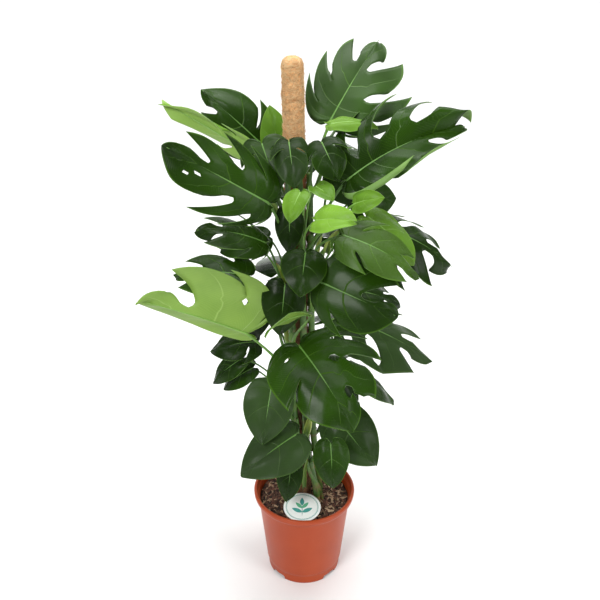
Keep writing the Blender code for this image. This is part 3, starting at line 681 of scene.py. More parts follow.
def veins(finish):
    """Line masks of a blade: the main side veins, the fine ones between them, and how far out we are."""
    across, lobe, _ = finish.parts("place")
    out = finish.math("ABSOLUTE", across)
    t = finish.math("FRACT", lobe)
    off = finish.math("ABSOLUTE", finish.math("SUBTRACT", t, 0.5))
    wide = finish.linear(finish.math("SUBTRACT", 1.0, out), 0.020, 0.010)
    main = finish.math("SUBTRACT", 1.0, finish.math("DIVIDE", off, wide), clamp=True)
    main = finish.math("MULTIPLY", main, finish.step(out, 1.05, 0.70))
    # fine veins leave the main one at a slant
    slant = finish.linear(off, 9.0, finish.math("MULTIPLY", out, -26.0))
    fine = finish.math("ABSOLUTE", finish.math("SUBTRACT", finish.math("FRACT", slant), 0.5))
    fine = finish.step(fine, 0.16, 0.0)
    return main, fine, out


def leaf_upper(name, deep, lit, vein, rough):
    finish = Finish(name)
    main, fine, out = veins(finish)
    value, painted_sheen, warmth = finish.parts("tint")
    broad = finish.noise(9.0, 2.0, 0.5)
    patches = finish.noise(60.0, 3.0, 0.6)
    finish.base = finish.mix(finish.step(broad, 0.35, 0.65), deep, lit)
    finish.coat(patches, scaled(deep, 0.55), 0.25)
    finish.coat(fine, vein, 0.16)
    finish.coat(main, vein, 0.48)
    finish.coat(finish.step(out, 0.955, 0.995), vein, 0.6)
    finish.coat(warmth, (0.21, 0.40, 0.045))
    # painted sheen: a grey-green laid over the upper side, by each leaf's sheen share, in place of the reflection of
    # the lamps
    finish.coat(painted_sheen, (0.058, 0.100, 0.038), 0.45)
    # each leaf's colour is scaled by its value: a random tone with painted shade on leaves deep in the crown and
    # painted light on leaves turned to the top light
    valued = finish.tree.nodes.new("ShaderNodeVectorMath")
    valued.operation = "SCALE"
    finish.set(valued, {0: finish.base, "Scale": value})
    finish.base = valued.outputs[0]
    dull = finish.linear(painted_sheen, 0.12, rough)
    dull = finish.linear(finish.math("SUBTRACT", patches, 0.5), 0.22, dull, clamp=True)
    relief = finish.math("MULTIPLY", main, -1.0)
    relief = finish.linear(fine, -0.18, relief)
    relief = finish.linear(patches, 0.25, relief)
    finish.bump(relief, 0.55, 0.0008)
    return finish.surface(dull, Specular_IOR_Level=0.13)


def leaf_under(name, deep, lit, vein, rough):
    finish = Finish(name)
    main, fine, _out = veins(finish)
    warmth = finish.parts("tint")[2]
    broad = finish.noise(12.0, 3.0, 0.5)
    finish.base = finish.mix(finish.step(broad, 0.3, 0.7), deep, lit)
    finish.coat(fine, vein, 0.20)
    finish.coat(main, vein, 0.75)
    finish.coat(warmth, (0.30, 0.50, 0.090))
    grain = finish.noise(260.0, 2.0, 0.5)
    dull = finish.linear(grain, 0.12, rough, clamp=True)
    relief = finish.linear(fine, 0.2, main)
    relief = finish.linear(grain, 0.2, relief)
    finish.bump(relief, 0.5, 0.0008)
    return finish.surface(dull)


def leaf_edge(name, first, second):
    finish = Finish(name)
    finish.base = finish.mix(finish.step(finish.noise(40.0), 0.35, 0.65), first, second)
    finish.bump(finish.noise(500.0), 0.3, 0.0003)
    return finish.surface(finish.linear(finish.noise(90.0), 0.2, 0.35))


def stalk_skin(name, low, high, rib):
    """Leaf stalks: duller at the stem, fresher up to the knee, pale as the midrib."""
    finish = Finish(name)
    along = finish.parts("place")[2]
    finish.base = finish.mix(finish.step(along, 0.0, 0.6), low, high)
    finish.coat(finish.step(along, 0.93, 1.03), rib)
    streaks = finish.noise(140.0, 3.0, 0.6, stretch=(1, 1, 0.12))
    finish.coat(streaks, scaled(low, 0.5), 0.35)
    specks = finish.step(finish.noise(700.0, 1.0), 0.62, 0.72)
    finish.coat(specks, scaled(high, 1.8), 0.3)
    finish.bump(streaks, 0.35, 0.0006)
    return finish.surface(finish.linear(streaks, 0.2, 0.32))


def plastic():
    finish = Finish("pot_terracotta_plastic")
    broad = finish.noise(7.0, 3.0, 0.55)
    streak = finish.noise(30.0, 4.0, 0.6, stretch=(1, 1, 0.08))
    dust = finish.noise(120.0, 4.0, 0.65)
    finish.base = finish.mix(finish.step(broad, 0.3, 0.7), (0.37, 0.050, 0.010), (0.43, 0.064, 0.014))
    finish.coat(streak, (0.31, 0.041, 0.009), 0.22)
    finish.coat(finish.step(dust, 0.55, 0.8), (0.43, 0.12, 0.045), 0.12)
    scuffs = finish.step(finish.noise(45.0, 6.0, 0.7, stretch=(1, 1, 3.0)), 0.60, 0.72)
    finish.coat(scuffs, (0.50, 0.15, 0.06), 0.12)
    rough = finish.linear(streak, 0.16, 0.30)
    rough = finish.linear(scuffs, 0.15, rough, clamp=True)
    relief = finish.linear(finish.noise(900.0, 2.0), 0.15, broad)
    finish.bump(relief, 0.12, 0.0010)
    return finish.surface(rough, Specular_IOR_Level=0.30)


def earth():
    finish = Finish("soil_crumb")
    lumps = finish.noise(120.0, 6.0, 0.7)
    finish.base = finish.mix(finish.step(lumps, 0.35, 0.65), (0.010, 0.005, 0.004), (0.075, 0.030, 0.018))
    cells = finish.node("TexVoronoi", Scale=260.0)
    finish.coat(finish.step(cells.outputs["Distance"], 0.25, 0.6), (0.030, 0.014, 0.009))
    flecks = finish.step(finish.noise(330.0, 2.0), 0.66, 0.72)
    finish.coat(flecks, (0.28, 0.15, 0.09), 0.6)
    finish.bump(lumps, 0.9, 0.004)
    return finish.surface(finish.linear(lumps, 0.15, 0.80))


def bark(name, dark, light):
    finish = Finish(name)
    tone = finish.parts("place")[0]
    grain = finish.noise(420.0, 5.0, 0.7)
    finish.base = finish.mix(tone, dark, light)
    finish.coat(grain, scaled(dark, 0.35), 0.55)
    finish.bump(grain, 0.8, 0.0012)
    return finish.surface(finish.linear(grain, 0.2, 0.62))


def coir(name, dark, light, low, gaps):
    """Coconut fibre, redder and darker down among the leaves, which is painted shade of the crown."""
    finish = Finish(name)
    tone = finish.parts("place")[0]
    height = finish.height()
    hair = finish.noise(520.0, 4.0, 0.8, stretch=(1, 1, 0.8))
    mat = finish.noise(170.0, 4.0, 0.75)
    finish.base = finish.mix(tone, dark, light)
    # painted shade: a near-black brown where the fibre mat has gaps, by the gaps share
    finish.coat(finish.step(mat, 0.56, 0.42), scaled(dark, 0.32), gaps)
    finish.coat(hair, scaled(dark, 0.7), 0.25)
    # painted shade of the crown: the third colour below about 1.1 m, and a deeper version of it below 1 m
    finish.coat(finish.step(height, 1.13, 1.01), low)
    finish.coat(finish.step(height, 1.00, 0.90), (low[0] * 0.75, low[1] * 0.95, low[2] * 1.2))
    finish.bump(hair, 0.9, 0.0015)
    return finish.surface(finish.linear(mat, 0.12, 0.80))


def stem_bark(name):
    finish = Finish(name)
    height = finish.height()
    ring = finish.parts("place")[0]
    streaks = finish.noise(160.0, 4.0, 0.6, stretch=(1, 1, 0.15))
    patches = finish.noise(45.0, 4.0, 0.6)
    finish.base = finish.mix(finish.step(patches, 0.38, 0.62), (0.050, 0.125, 0.018), (0.105, 0.215, 0.030))
    finish.coat(streaks, (0.030, 0.070, 0.012), 0.4)
    finish.coat(ring, (0.16, 0.105, 0.045))
    cork = finish.math("MULTIPLY", finish.step(height, 0.30, 0.21), finish.step(patches, 0.45, 0.6))
    finish.coat(cork, (0.20, 0.115, 0.050))
    finish.bump(streaks, 0.5, 0.0012)
    return finish.surface(finish.linear(patches, 0.25, 0.38))


def sheath_skin():
    """Fresh green at the foot, papery yellow towards the tip, yellower by tone."""
    finish = Finish("young_sheath_skin")
    tone, _, along = finish.parts("place")
    streaks = finish.noise(220.0, 4.0, 0.65, stretch=(1, 1, 0.15))
    finish.base = finish.mix(tone, (0.115, 0.270, 0.035), (0.42, 0.50, 0.105))
    finish.coat(finish.step(along, 0.35, 0.0), (0.10, 0.23, 0.030))
    finish.coat(streaks, (0.20, 0.24, 0.060), 0.35)
    finish.coat(finish.step(along, 0.90, 1.0), (0.20, 0.12, 0.05))
    finish.bump(streaks, 0.5, 0.0006)
    return finish.surface(finish.linear(streaks, 0.2, 0.38))


def root_skin():
    finish = Finish("aerial_root_skin")
    streaks = finish.noise(300.0, 4.0, 0.65, stretch=(1, 1, 0.2))
    finish.base = finish.mix(finish.step(streaks, 0.35, 0.65), (0.085, 0.042, 0.020), (0.21, 0.125, 0.060))
    finish.bump(streaks, 0.7, 0.0010)
    return finish.surface(finish.linear(streaks, 0.2, 0.6))


def card(name, first, second, rough):
    finish = Finish(name)
    fibre = finish.noise(1600.0, 3.0, 0.6)
    smudge = finish.noise(70.0, 3.0, 0.6)
    finish.base = finish.mix(finish.step(smudge, 0.45, 0.75), first, second)
    finish.bump(fibre, 0.12, 0.0002)
    return finish.surface(finish.linear(smudge, 0.15, rough))


def floor_paint():
    finish = Finish("studio_sweep")
    tone = finish.noise(2.0, 2.0)
    finish.base = finish.mix(tone, (0.87, 0.87, 0.87), (0.90, 0.90, 0.90))
    return finish.surface(finish.linear(tone, 0.05, 0.85))


def hand_in(piece, replaced=None):
    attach(piece, "root")
    if replaced:
        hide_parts(replaced)


def build_leaves(finishes):
    """Every leaf with its stalk; gives back where the leaves of each stem leave it."""
    numbers = {leaf: number for number, leaf in enumerate(LEAVES, 1)}
    nodes = {}
    for stem in STEMS:
        climbing = sorted((leaf for leaf in LEAVES if leaf.stem == stem), key=lambda leaf: leaf.base[2])
        nodes[stem] = node_heights(climbing)
        for leaf, node in zip(climbing, nodes[stem]):
            number = numbers[leaf]
            chance = random.Random(100 + number)
            look = PLAIN_LOOK | LOOKS.get(number, {})
            shape = Shape()
            blade(shape, leaf, look, chance)
            stalk(shape, leaf, node)
            # tint: brightness (random tone with painted shade and painted light), share of painted sheen, and
            # yellowness
            tint = (look["value"] * chance.uniform(0.9, 1.12), look["painted_sheen"], look["warmth"])
            piece = shape.make(f"monstera_leaf_{number:02d}", finishes[leaf.tone], tint)
            hand_in(piece, f"leaf_{number:02d}")
    return nodes


def bulge(heights, middle, half):
    return np.exp(-(((heights - middle) / half) ** 2))


def build_stems(nodes, skin):
    for stem in STEMS:
        chance = random.Random(stem)
        heights = np.linspace(STEM_FOOT + 0.002, STEM_TOP, 260)
        radii = np.full_like(heights, STEM_RADIUS * 0.94)
        ring = np.zeros_like(heights)
        for node in nodes[stem]:
            radii *= 1 + 0.20 * bulge(heights, node, 0.006)
            ring = np.maximum(ring, 0.8 * bulge(heights, node - 0.004, 0.0022))
        for number in range(9):
            scar = 0.225 + 0.09 * number + chance.uniform(-0.015, 0.015)
            radii *= 1 + 0.07 * bulge(heights, scar, 0.003)
            ring = np.maximum(ring, 0.55 * bulge(heights, scar, 0.0018))
        radii *= np.clip((STEM_TOP - heights) / 0.05, 0.0, 1.0) ** 0.5 * 0.6 + 0.4
        shape = Shape()
        sweep(shape, on_stem(stem, heights), radii, 22, 0, in_first(ring))
        hand_in(shape.make("climbing_" + stem, [skin]), stem)


# Side shoots and old leaf stalks round the foot of the stems: azimuths low and high, distance from the
# axis at the foot, height of the top and radius
SIDE_SHOOTS = (
    (218, 258, 0.048, 0.46, 0.0050), (320, 284, 0.049, 0.52, 0.0050), (206, 236, 0.045, 0.40, 0.0042),
    (334, 306, 0.050, 0.36, 0.0042), (20, 24, 0.050, 0.40, 0.0044), (150, 146, 0.046, 0.42, 0.0046),
    (75, 70, 0.047, 0.38, 0.0040),
)
SHOOT_TOP_REACH = 0.034


def build_shoots(skin):
    shape = Shape()
    share = np.linspace(0, 1, 48)
    ring = 0.7 * np.exp(-((((share * 7) % 1 - 0.5) / 0.06) ** 2))
    for low_turn, high_turn, out, top, size in SIDE_SHOOTS:
        heights = np.linspace(0.190, top, len(share))
        turns = low_turn + (high_turn - low_turn) * smooth((heights - 0.235) / 0.10)
        turns += 5 * np.sin(share * 5 + low_turn)
        reach = out + (SHOOT_TOP_REACH - out) * smooth(share * 1.2) + 0.0012 * np.sin(share * 9 + low_turn)
        path = on_axis(heights) + round_direction(turns) * reach[:, None]
        sweep(shape, path, size * (1 - 0.45 * share) * (1 + 0.10 * ring), 14, 0, in_first(ring * (share < 0.8)))
    hand_in(shape.make("side_shoots", [skin]))


def build_roots(skin):
    """Aerial roots run from the nodes down the pole, a few as far as the soil."""
    shape = Shape()
    chance = random.Random(5)
    share = np.linspace(0, 1, 22)
    for number in range(18):
        stem = list(STEMS)[number % 4]
        top = chance.uniform(0.34, 0.95)
        run = chance.uniform(0.06, 0.22)
        aside = chance.choice((-34, 34)) + chance.uniform(-8, 8)
        turns = stem_azimuth(stem, top) + aside * smooth(share * 4)
        turns += 9 * np.sin(share * chance.uniform(4, 9) + number)
        out = SLEEVE_RADIUS + 0.0035 + (STEM_RADIUS + 0.003) * (1 - smooth(share * 4)) + 0.001 * np.sin(share * 13)
        heights = np.linspace(top, max(top - run, SOIL_TOP + 0.002), len(share))
        path = on_axis(heights) + round_direction(turns) * out[:, None]
        sweep(shape, path, 0.0021 * (1 - 0.45 * share), 8)
    hand_in(shape.make("aerial_roots", [skin]))


# Young sheaths and rolled leaves among the stalks: foot and tip in centimetres, radius, the azimuth
# they open to and how yellow they are
SHEATHS = (
    ((0.2, -4.6, 41.5), (1.4, -5.6, 50.5), 0.0085, 250, 1.0),
    ((0.0, -5.0, 27.0), (0.8, -5.4, 36.0), 0.0050, 290, 0.3),
    ((1.5, -6.0, 75.0), (2.0, -9.5, 84.5), 0.0070, 250, 0.6),
    ((-3.5, -5.5, 77.0), (-5.6, -8.0, 87.0), 0.0080, 240, 0.8),
    ((-3.0, -6.5, 84.0), (-3.2, -9.0, 90.5), 0.0070, 280, 0.5),
    ((4.0, -6.5, 88.0), (6.5, -10.0, 95.0), 0.0070, 300, 0.7),
    ((-5.0, -4.0, 95.0), (-8.5, -6.0, 100.5), 0.0060, 240, 0.4),
    ((3.5, -5.0, 60.0), (6.0, -7.5, 67.0), 0.0060, 300, 0.5),
    ((-3.5, 4.0, 60.0), (-6.0, 8.0, 68.0), 0.0065, 120, 0.6),
    ((2.0, 5.0, 80.0), (4.0, 9.0, 88.0), 0.0065, 80, 0.7),
)
SHEATH_THICKNESS = 0.0005
SHEATH_OPENING = 125  # degrees to either side that the sheath closes round


def leaf_sheath(shape, foot, tip, wide, open_turn, tone):
    """A papery rolled sheath, open along one side, widest below the middle and pointed at the top."""
    rows, columns = 18, 15
    foot, tip = np.array(foot) * CM, np.array(tip) * CM
    along = unit(tip - foot)
    side = unit(np.cross(along, round_direction(open_turn)))
    front = np.cross(side, along)
    t = np.linspace(0, 1, rows)
    radius = wide * (0.35 + 0.65 * np.sin(math.pi * np.clip(t * 0.9 + 0.12, 0, 1)) ** 0.8)
    radius = (radius * (1 - t) ** 0.45 + 0.0008) * (1 + 0.10 * np.sin(9 * t))
    bow = 0.10 * np.linalg.norm(tip - foot) * np.sin(math.pi * t)
    path = foot + (tip - foot) * t[:, None] - front * bow[:, None]
    turns = np.radians(np.linspace(-SHEATH_OPENING, SHEATH_OPENING, columns))[None, :, None]
    across = np.sin(turns) * side - np.cos(turns) * front
    skins = [path[:, None, :] + across * (radius - inset)[:, None, None] for inset in (0.0, SHEATH_THICKNESS)]
    size = rows * columns
    outer = [face[::-1] for face in grid_faces(rows, columns)]
    faces = outer + [tuple(v + size for v in face[::-1]) for face in outer]
    edge = [*range(columns), *range(2 * columns - 1, size, columns)]
    edge += [*range(size - 2, size - columns - 1, -1), *range(size - 2 * columns, 0, -columns)]
    faces += [(a, b, b + size, a + size) for a, b in zip(edge, edge[1:] + edge[:1])]
    marks = np.zeros((2 * size, 3))
    marks[:, 0] = tone
    marks[:, 2] = np.tile(np.repeat(t, columns), 2)
    shape.add(np.concatenate(skins), faces, 0, marks)


def build_sheaths(finish):
    shape = Shape()
    for sheath in SHEATHS:
        leaf_sheath(shape, *sheath)
    hand_in(shape.make("young_sheaths", [finish]))


def lathe(shape, profile, sides, lift=None):
    """A round skin from a profile of (radius, height)."""
    profile = np.array(profile)
    turns = np.linspace(0, 360, sides, endpoint=False)
    points = profile[:, None, :1] * round_direction(turns)[None]
    points[..., 2] = profile[:, None, 1]
    if lift is not None:
        points = lift(points, turns)
    shape.add(points, grid_faces(len(profile), sides, closed=True))


NOTCH_TOP = 0.0098  # of the foot ring that follows the notches


def notched(points, turns):
    """The foot ring stops short of the floor along four wide notches."""
    off = np.abs(turns % 90 - 45)
    depth = 0.0086 * smooth((12.4 - off) / 1.6)[None, :]
    height = points[..., 2]
    ring = np.hypot(points[..., 0], points[..., 1]) > FOOT_RADIUS - 0.0050
    squeezed = depth + height * (NOTCH_TOP - depth) / NOTCH_TOP
    points[..., 2] = np.where((height < NOTCH_TOP) & ring, squeezed, height)
    return points


def line(start, end, steps):
    return [tuple(point) for point in np.linspace(start, end, steps)]


def build_pot(finish):
    neck = NECK_HEIGHT
    outside = [
        (LIP_RADIUS - 0.0064, POT_HEIGHT - 0.0002),
        (LIP_RADIUS - 0.0034, POT_HEIGHT),
        (LIP_RADIUS - 0.0010, POT_HEIGHT - 0.0010),
        (LIP_RADIUS, POT_HEIGHT - 0.0032),
        (LIP_RADIUS - 0.0005, neck + 0.0060),
        (LIP_RADIUS - 0.0016, neck + 0.0022),
        (LIP_RADIUS - 0.0034, neck + 0.0006),
        (NECK_RADIUS + 0.0052, neck),
        (NECK_RADIUS + 0.0026, neck - 0.0014),
        (NECK_RADIUS + 0.0014, neck - 0.0040),
        *line((NECK_RADIUS, neck - 0.0065), (BODY_FOOT_RADIUS, STEP_HEIGHT + 0.0010), 22),
        (BODY_FOOT_RADIUS - 0.0010, STEP_HEIGHT - 0.0006),
        (FOOT_RADIUS + 0.0004, STEP_HEIGHT - 0.0022),
        (FOOT_RADIUS, STEP_HEIGHT - 0.0060),
        *[(FOOT_RADIUS - 0.0003, z) for z in (0.0180, 0.0150, 0.0120, 0.0095, 0.0080, 0.0060, 0.0040, 0.0020)],
        (FOOT_RADIUS - 0.0004, 0.0006),
        (FOOT_RADIUS - 0.0010, 0.0),
        (FOOT_RADIUS - 0.0028, 0.0),
        (FOOT_RADIUS - 0.0034, 0.0006),
        (FOOT_RADIUS - 0.0030, 0.0040),
        (FOOT_RADIUS - 0.0026, 0.0080),
        (FOOT_RADIUS - 0.0030, FLOOR_UNDERSIDE),
        (FOOT_RADIUS - 0.0200, FLOOR_UNDERSIDE),
        (FOOT_PAD_RADIUS + 0.0030, FLOOR_UNDERSIDE),
        (FOOT_PAD_RADIUS + 0.0006, FLOOR_UNDERSIDE - 0.0012),
        (FOOT_PAD_RADIUS, 0.0010),
        (FOOT_PAD_RADIUS - 0.0010, 0.0),
        (0.0120, 0.0),
        (0.0, 0.0),
    ]
    inside = [
        (0.0, FLOOR_TOP),
        (0.0400, FLOOR_TOP),
        (FOOT_RADIUS - 0.0035, FLOOR_TOP),
        (FOOT_RADIUS - 0.0022, FLOOR_TOP + 0.0015),
        *line((BODY_FOOT_RADIUS - 0.0020, STEP_HEIGHT), (NECK_RADIUS - 0.0020, neck), 16),
        (NECK_RADIUS - 0.0010, neck + 0.0030),
        (LIP_RADIUS - 0.0086, neck + 0.0060),
        (LIP_RADIUS - 0.0074, neck + 0.0100),
        (LIP_RADIUS - 0.0070, POT_HEIGHT - 0.0022),
        (LIP_RADIUS - 0.0064, POT_HEIGHT - 0.0002),
    ]

    shape = Shape()
    lathe(shape, outside, 180, notched)
    lathe(shape, inside, 180)
    piece = shape.make("nursery_pot", [finish])
    tidy_normals(piece)
    hand_in(piece, "pot")


def uneven(x, y, z, scale):
    return noise.noise(Vector((x * scale, y * scale, z * scale)))


def soil_height(x, y):
    radius = math.hypot(x, y)
    height = SOIL_TOP - 0.001 - 0.005 * smooth((radius - 0.045) / 0.06)
    height += 0.0024 * uneven(x, y, 0.0, 55) + 0.0016 * uneven(x, y, 3.0, 160) + 0.0009 * uneven(x, y, 7.0, 420)
    return height


SOIL_EDGE = 0.1052
# heights and radii of the root ball below the surface
ROOT_BALL = ((0.190, 0.1040), (0.100, 0.0965), (0.030, 0.0895), (0.0145, 0.0850), (0.0130, 0.0800))
LITTER = (  # name, how many, length, width as a share of it, tone
    ("bark_chips", 1100, (0.004, 0.014), (0.30, 0.6), (0.0, 1.0)),
    ("pale_splinters", 420, (0.007, 0.021), (0.12, 0.28), (0.2, 1.0)),
    ("soil_crumbs", 1500, (0.0015, 0.0045), (0.6, 0.95), (0.0, 0.4)),
)
LITTER_REACH = 0.1045


def build_soil(finish):
    rings, sides = 70, 150
    turns = np.linspace(0, 2 * math.pi, sides, endpoint=False)
    points = []
    for ring in range(rings):
        radius = SOIL_EDGE * (ring + 0.5) / (rings - 0.5)
        for x, y in zip(radius * np.cos(turns), radius * np.sin(turns)):
            points.append((x, y, soil_height(x, y)))
    for height, radius in ROOT_BALL:
        for c, s in zip(np.cos(turns), np.sin(turns)):
            reach = radius + 0.0008 * uneven(c, s, height * 30, 6)
            points.append((reach * c, reach * s, height))
    faces = grid_faces(rings + len(ROOT_BALL), sides, closed=True)
    faces += [range(sides), range(len(points) - sides, len(points))]
    shape = Shape()
    shape.add(points, faces)
    piece = shape.make("soil_surface", [finish])
    tidy_normals(piece)
    hand_in(piece, "potting_soil")


def chip(shape, chance, size, thick, tone):
    """A rough little block, lying somewhere on the soil outside the pole."""
    radius = 0.1015 * math.sqrt(chance.random())
    turn = chance.uniform(0, 2 * math.pi)
    x, y = radius * math.cos(turn), radius * math.sin(turn)
    if math.hypot(x - LEAN * SOIL_TOP, y) < SLEEVE_RADIUS + 0.002:
        return
    long = chance.uniform(*size)
    wide = long * chance.uniform(*thick)
    deep = min(wide, 0.0035) * chance.uniform(0.4, 0.8)
    spin = Matrix.Identity(3)
    for axis, most in (("Z", None), ("Y", 0.45), ("X", 0.6)):
        spin = spin @ Matrix.Rotation(chance.uniform(-most, most) if most else chance.uniform(0, 6.28), 3, axis)
    place = Vector((x, y, soil_height(x, y) + deep * 0.35))
    points = []
    for end, taper in ((-0.5, 0.35), (-0.25, 0.95), (0.22, 1.0), (0.5, 0.30)):
        for across, up in ((-0.5, -0.5), (0.5, -0.5), (0.5, 0.5), (-0.5, 0.5)):
            along, aside, above = (chance.uniform(0.72, 1.15) for _ in range(3))
            corner = (end * long * along, across * wide * taper * aside, up * deep * taper * above)
            spot = spin @ Vector(corner) + place
            spot.xy *= min(1, LITTER_REACH / spot.xy.length)
            points.append(spot)
    marks = np.tile((chance.uniform(*tone), 0, 0), (len(points), 1))
    shape.add(points, grid_faces(4, 4, closed=True) + [(3, 2, 1, 0), (12, 13, 14, 15)], 0, marks, flat=True)


def build_litter(barks):
    """Bark chips, wood fibres and crumbs lie on the soil."""
    chance = random.Random(11)
    for name, count, *kind in LITTER:
        shape = Shape()
        for _ in range(count):
            chip(shape, chance, *kind)
        piece = shape.make(name, [barks[name]])
        tidy_normals(piece)
        hand_in(piece)


def tidy_normals(piece):
    bm = bmesh.new()
    bm.from_mesh(piece.data)
    bmesh.ops.remove_doubles(bm, verts=bm.verts, dist=2e-6)
    bmesh.ops.recalc_face_normals(bm, faces=bm.faces)
    bm.to_mesh(piece.data)
    bm.free()


def sleeve_radius(height):
    """The sleeve is a rounded column, a little waisted where the thread pulls it in."""
    top = POLE_TOP - height
    cap = 1.0 if top > 0.020 else math.sqrt(max(0.0, 1 - ((0.020 - top) / 0.0202) ** 2.2))
    waist = 0.0003 * math.sin(height * 2 * math.pi / 0.021) + 0.0005 * math.sin(height * 2 * math.pi / 0.083 + 1)
    return (SLEEVE_RADIUS - 0.0012 + waist) * (0.16 + 0.84 * cap) if top > 0.0004 else 0.002


COIR_RADIUS = 0.0210  # round which fibres are laid and unevenness is looked up
HAIR_RADII = np.array((0.00020, 0.00032, 0.00036, 0.00036, 0.00030, 0.00014))


def build_pole(skin, hair, thread_finish):
    sides = 110
    cap = POLE_TOP - 0.022 * (1 - np.linspace(0, 1, 14)) ** 1.6
    heights = np.concatenate([np.linspace(0.170, 1.228, 420), cap])
    turns = np.linspace(0, 2 * math.pi, sides, endpoint=False)
    points, marks = [], []
    for height in heights:
        radius = sleeve_radius(height)
        for c, s in zip(np.cos(turns), np.sin(turns)):
            x, y = c * COIR_RADIUS, s * COIR_RADIUS
            rough = 0.0011 * uneven(x, y, height, 110) + 0.0008 * uneven(x, y, height, 330)
            reach = max(0.0006, radius + rough * min(1, radius / 0.01))
            points.append((LEAN * height + reach * c, reach * s, height))
            marks.append((0.5 + 0.5 * uneven(x, y, height + 5, 160), 0, 0))
    faces = grid_faces(len(heights), sides, closed=True)
    faces += [range(sides), range(len(points) - sides, len(points))]
    shape = Shape()
    shape.add(points, faces, 0, marks)
    piece = shape.make("coir_pole", [skin])
    tidy_normals(piece)
    hand_in(piece, "coir_sleeve")
    build_hair(hair)
    # the thread that holds the coir on
    shape = Shape()
    for phase, pitch, way in ((0.0, 0.021, 1), (2.0, 0.034, -1)):
        heights = np.arange(0.215, 1.236, 0.00075)
        turns = way * 360 * heights / pitch + 57 * phase
        reach = np.array([sleeve_radius(h) for h in heights]) + 0.0004
        path = on_axis(heights) + round_direction(turns) * reach[:, None]
        sweep(shape, path, np.full(len(heights), 0.00042), 5, 0)
    hand_in(shape.make("winding_thread", [thread_finish]))


def build_hair(finish):
    """Loose fibres over the whole sleeve, thickest where it shows."""
    chance = random.Random(21)
    shape = Shape()
    steps = len(HAIR_RADII)
    for number in range(6000):
        height = chance.uniform(0.99, 1.249) if number % 3 else chance.uniform(0.215, 1.0)
        turn = chance.uniform(0, 2 * math.pi)
        slope = chance.gauss(0, 0.55)
        long = chance.uniform(0.012, 0.040)
        bend = chance.uniform(-30, 30)
        lifted = chance.uniform(0.0005, 0.0034) if chance.random() < 0.40 else 0.0
        path = []
        for n in range(steps):
            t = n / (steps - 1) - 0.5
            level = height + math.sin(slope + bend * t * 0.03) * long * t
            level = min(max(level, 0.212), POLE_TOP - 0.0012)
            radius = sleeve_radius(level) + 0.0002 + lifted * (2 * t) ** 2 + 0.0004 * math.sin(n * 2.1 + number)
            angle = turn + math.cos(slope) * long * t / COIR_RADIUS
            path.append((LEAN * level + radius * math.cos(angle), radius * math.sin(angle), level))
        tone = chance.random() ** 0.8
        sweep(shape, path, chance.uniform(0.7, 1.5) * HAIR_RADII, 3, 0, in_first([tone] * steps))
    hand_in(shape.make("coir_fibres", [finish]))


LABEL_HALF = 0.0006
INK_LEVEL = LABEL_HALF + 0.00004
INK_THICKNESS = 0.00012


def on_label(x, y, level):
    return Matrix.Rotation(LABEL_TILT, 3, "X") @ Vector((x, y, level)) + Vector(LABEL_CENTRE)


def petal(shape, start, turn, long, wide, slot):
    """A small printed leaf shape lying on the label; turn is in degrees from straight up."""
    t = np.linspace(0, 1, 12)
    outline = list(zip(t * long, wide * np.sin(math.pi * t).clip(0) ** 0.8 * (1 - 0.25 * t)))
    outline += [(x, -y) for x, y in outline[-2:0:-1]]
    angle = math.radians(90 + turn)
    c, s = math.cos(angle), math.sin(angle)
    outline = [(x * c - y * s, start + x * s + y * c) for x, y in outline]
    points = [on_label(x, y, INK_LEVEL + high) for high in (0, INK_THICKNESS) for x, y in outline]
    count = len(outline)
    faces = grid_faces(2, count, closed=True) + [tuple(range(count))[::-1], tuple(range(count, 2 * count))]
    shape.add(points, faces, slot, flat=True)


def build_label(white, inks):
    half = LABEL_HALF
    shape = Shape()
    profile = [(0.0, half), (0.02, half), (0.038, half), (LABEL_RADIUS - 0.0008, half)]
    profile += [(LABEL_RADIUS - 0.0002, half - 0.0002), (LABEL_RADIUS, 0.0), (LABEL_RADIUS - 0.0002, 0.0002 - half)]
    profile += [(LABEL_RADIUS - 0.0008, -half), (0.02, -half), (0.0, -half)]
    lathe(shape, profile, 96)
    shape.points = [np.array([on_label(*point) for point in shape.points[0]])]
    # the spike that holds it in the soil
    spike = []
    for level, reach in ((-0.0006, 0.003), (-0.045, 0.003), (-0.060, 0.0008)):
        for x, y in ((-reach, -half), (reach, -half), (reach, half), (-reach, half)):
            spike.append(np.add(LABEL_CENTRE, (x, y, level)))
    shape.add(spike, grid_faces(3, 4, closed=True) + [(3, 2, 1, 0), (8, 9, 10, 11)], flat=True)
    piece = shape.make("label_card", [white])
    tidy_normals(piece)
    hand_in(piece, "plant_label")
    # a plain sprig inside a thin ring
    shape = Shape()
    for radius, wide in ((0.0375, 0.0005), (0.0358, 0.00025)):
        inner, outer = radius - wide, radius + wide
        ring = []
        for reach, high in ((inner, 0), (inner, INK_THICKNESS), (outer, INK_THICKNESS), (outer, 0), (inner, 0)):
            for turn in np.linspace(0, 2 * math.pi, 96, endpoint=False):
                ring.append(on_label(reach * math.cos(turn), reach * math.sin(turn), INK_LEVEL + high))
        shape.add(ring, grid_faces(5, 96, closed=True))
    petal(shape, -0.027, 0, 0.034, 0.0008, 2)
    for side in (-1, 1):
        petal(shape, -0.016, -62 * side, 0.0270, 0.0062, 0)
        petal(shape, -0.004, -40 * side, 0.0230, 0.0050, 1)
    petal(shape, 0.004, 0, 0.0240, 0.0055, 0)
    piece = shape.make("label_sprig", inks)
    tidy_normals(piece)
    hand_in(piece)


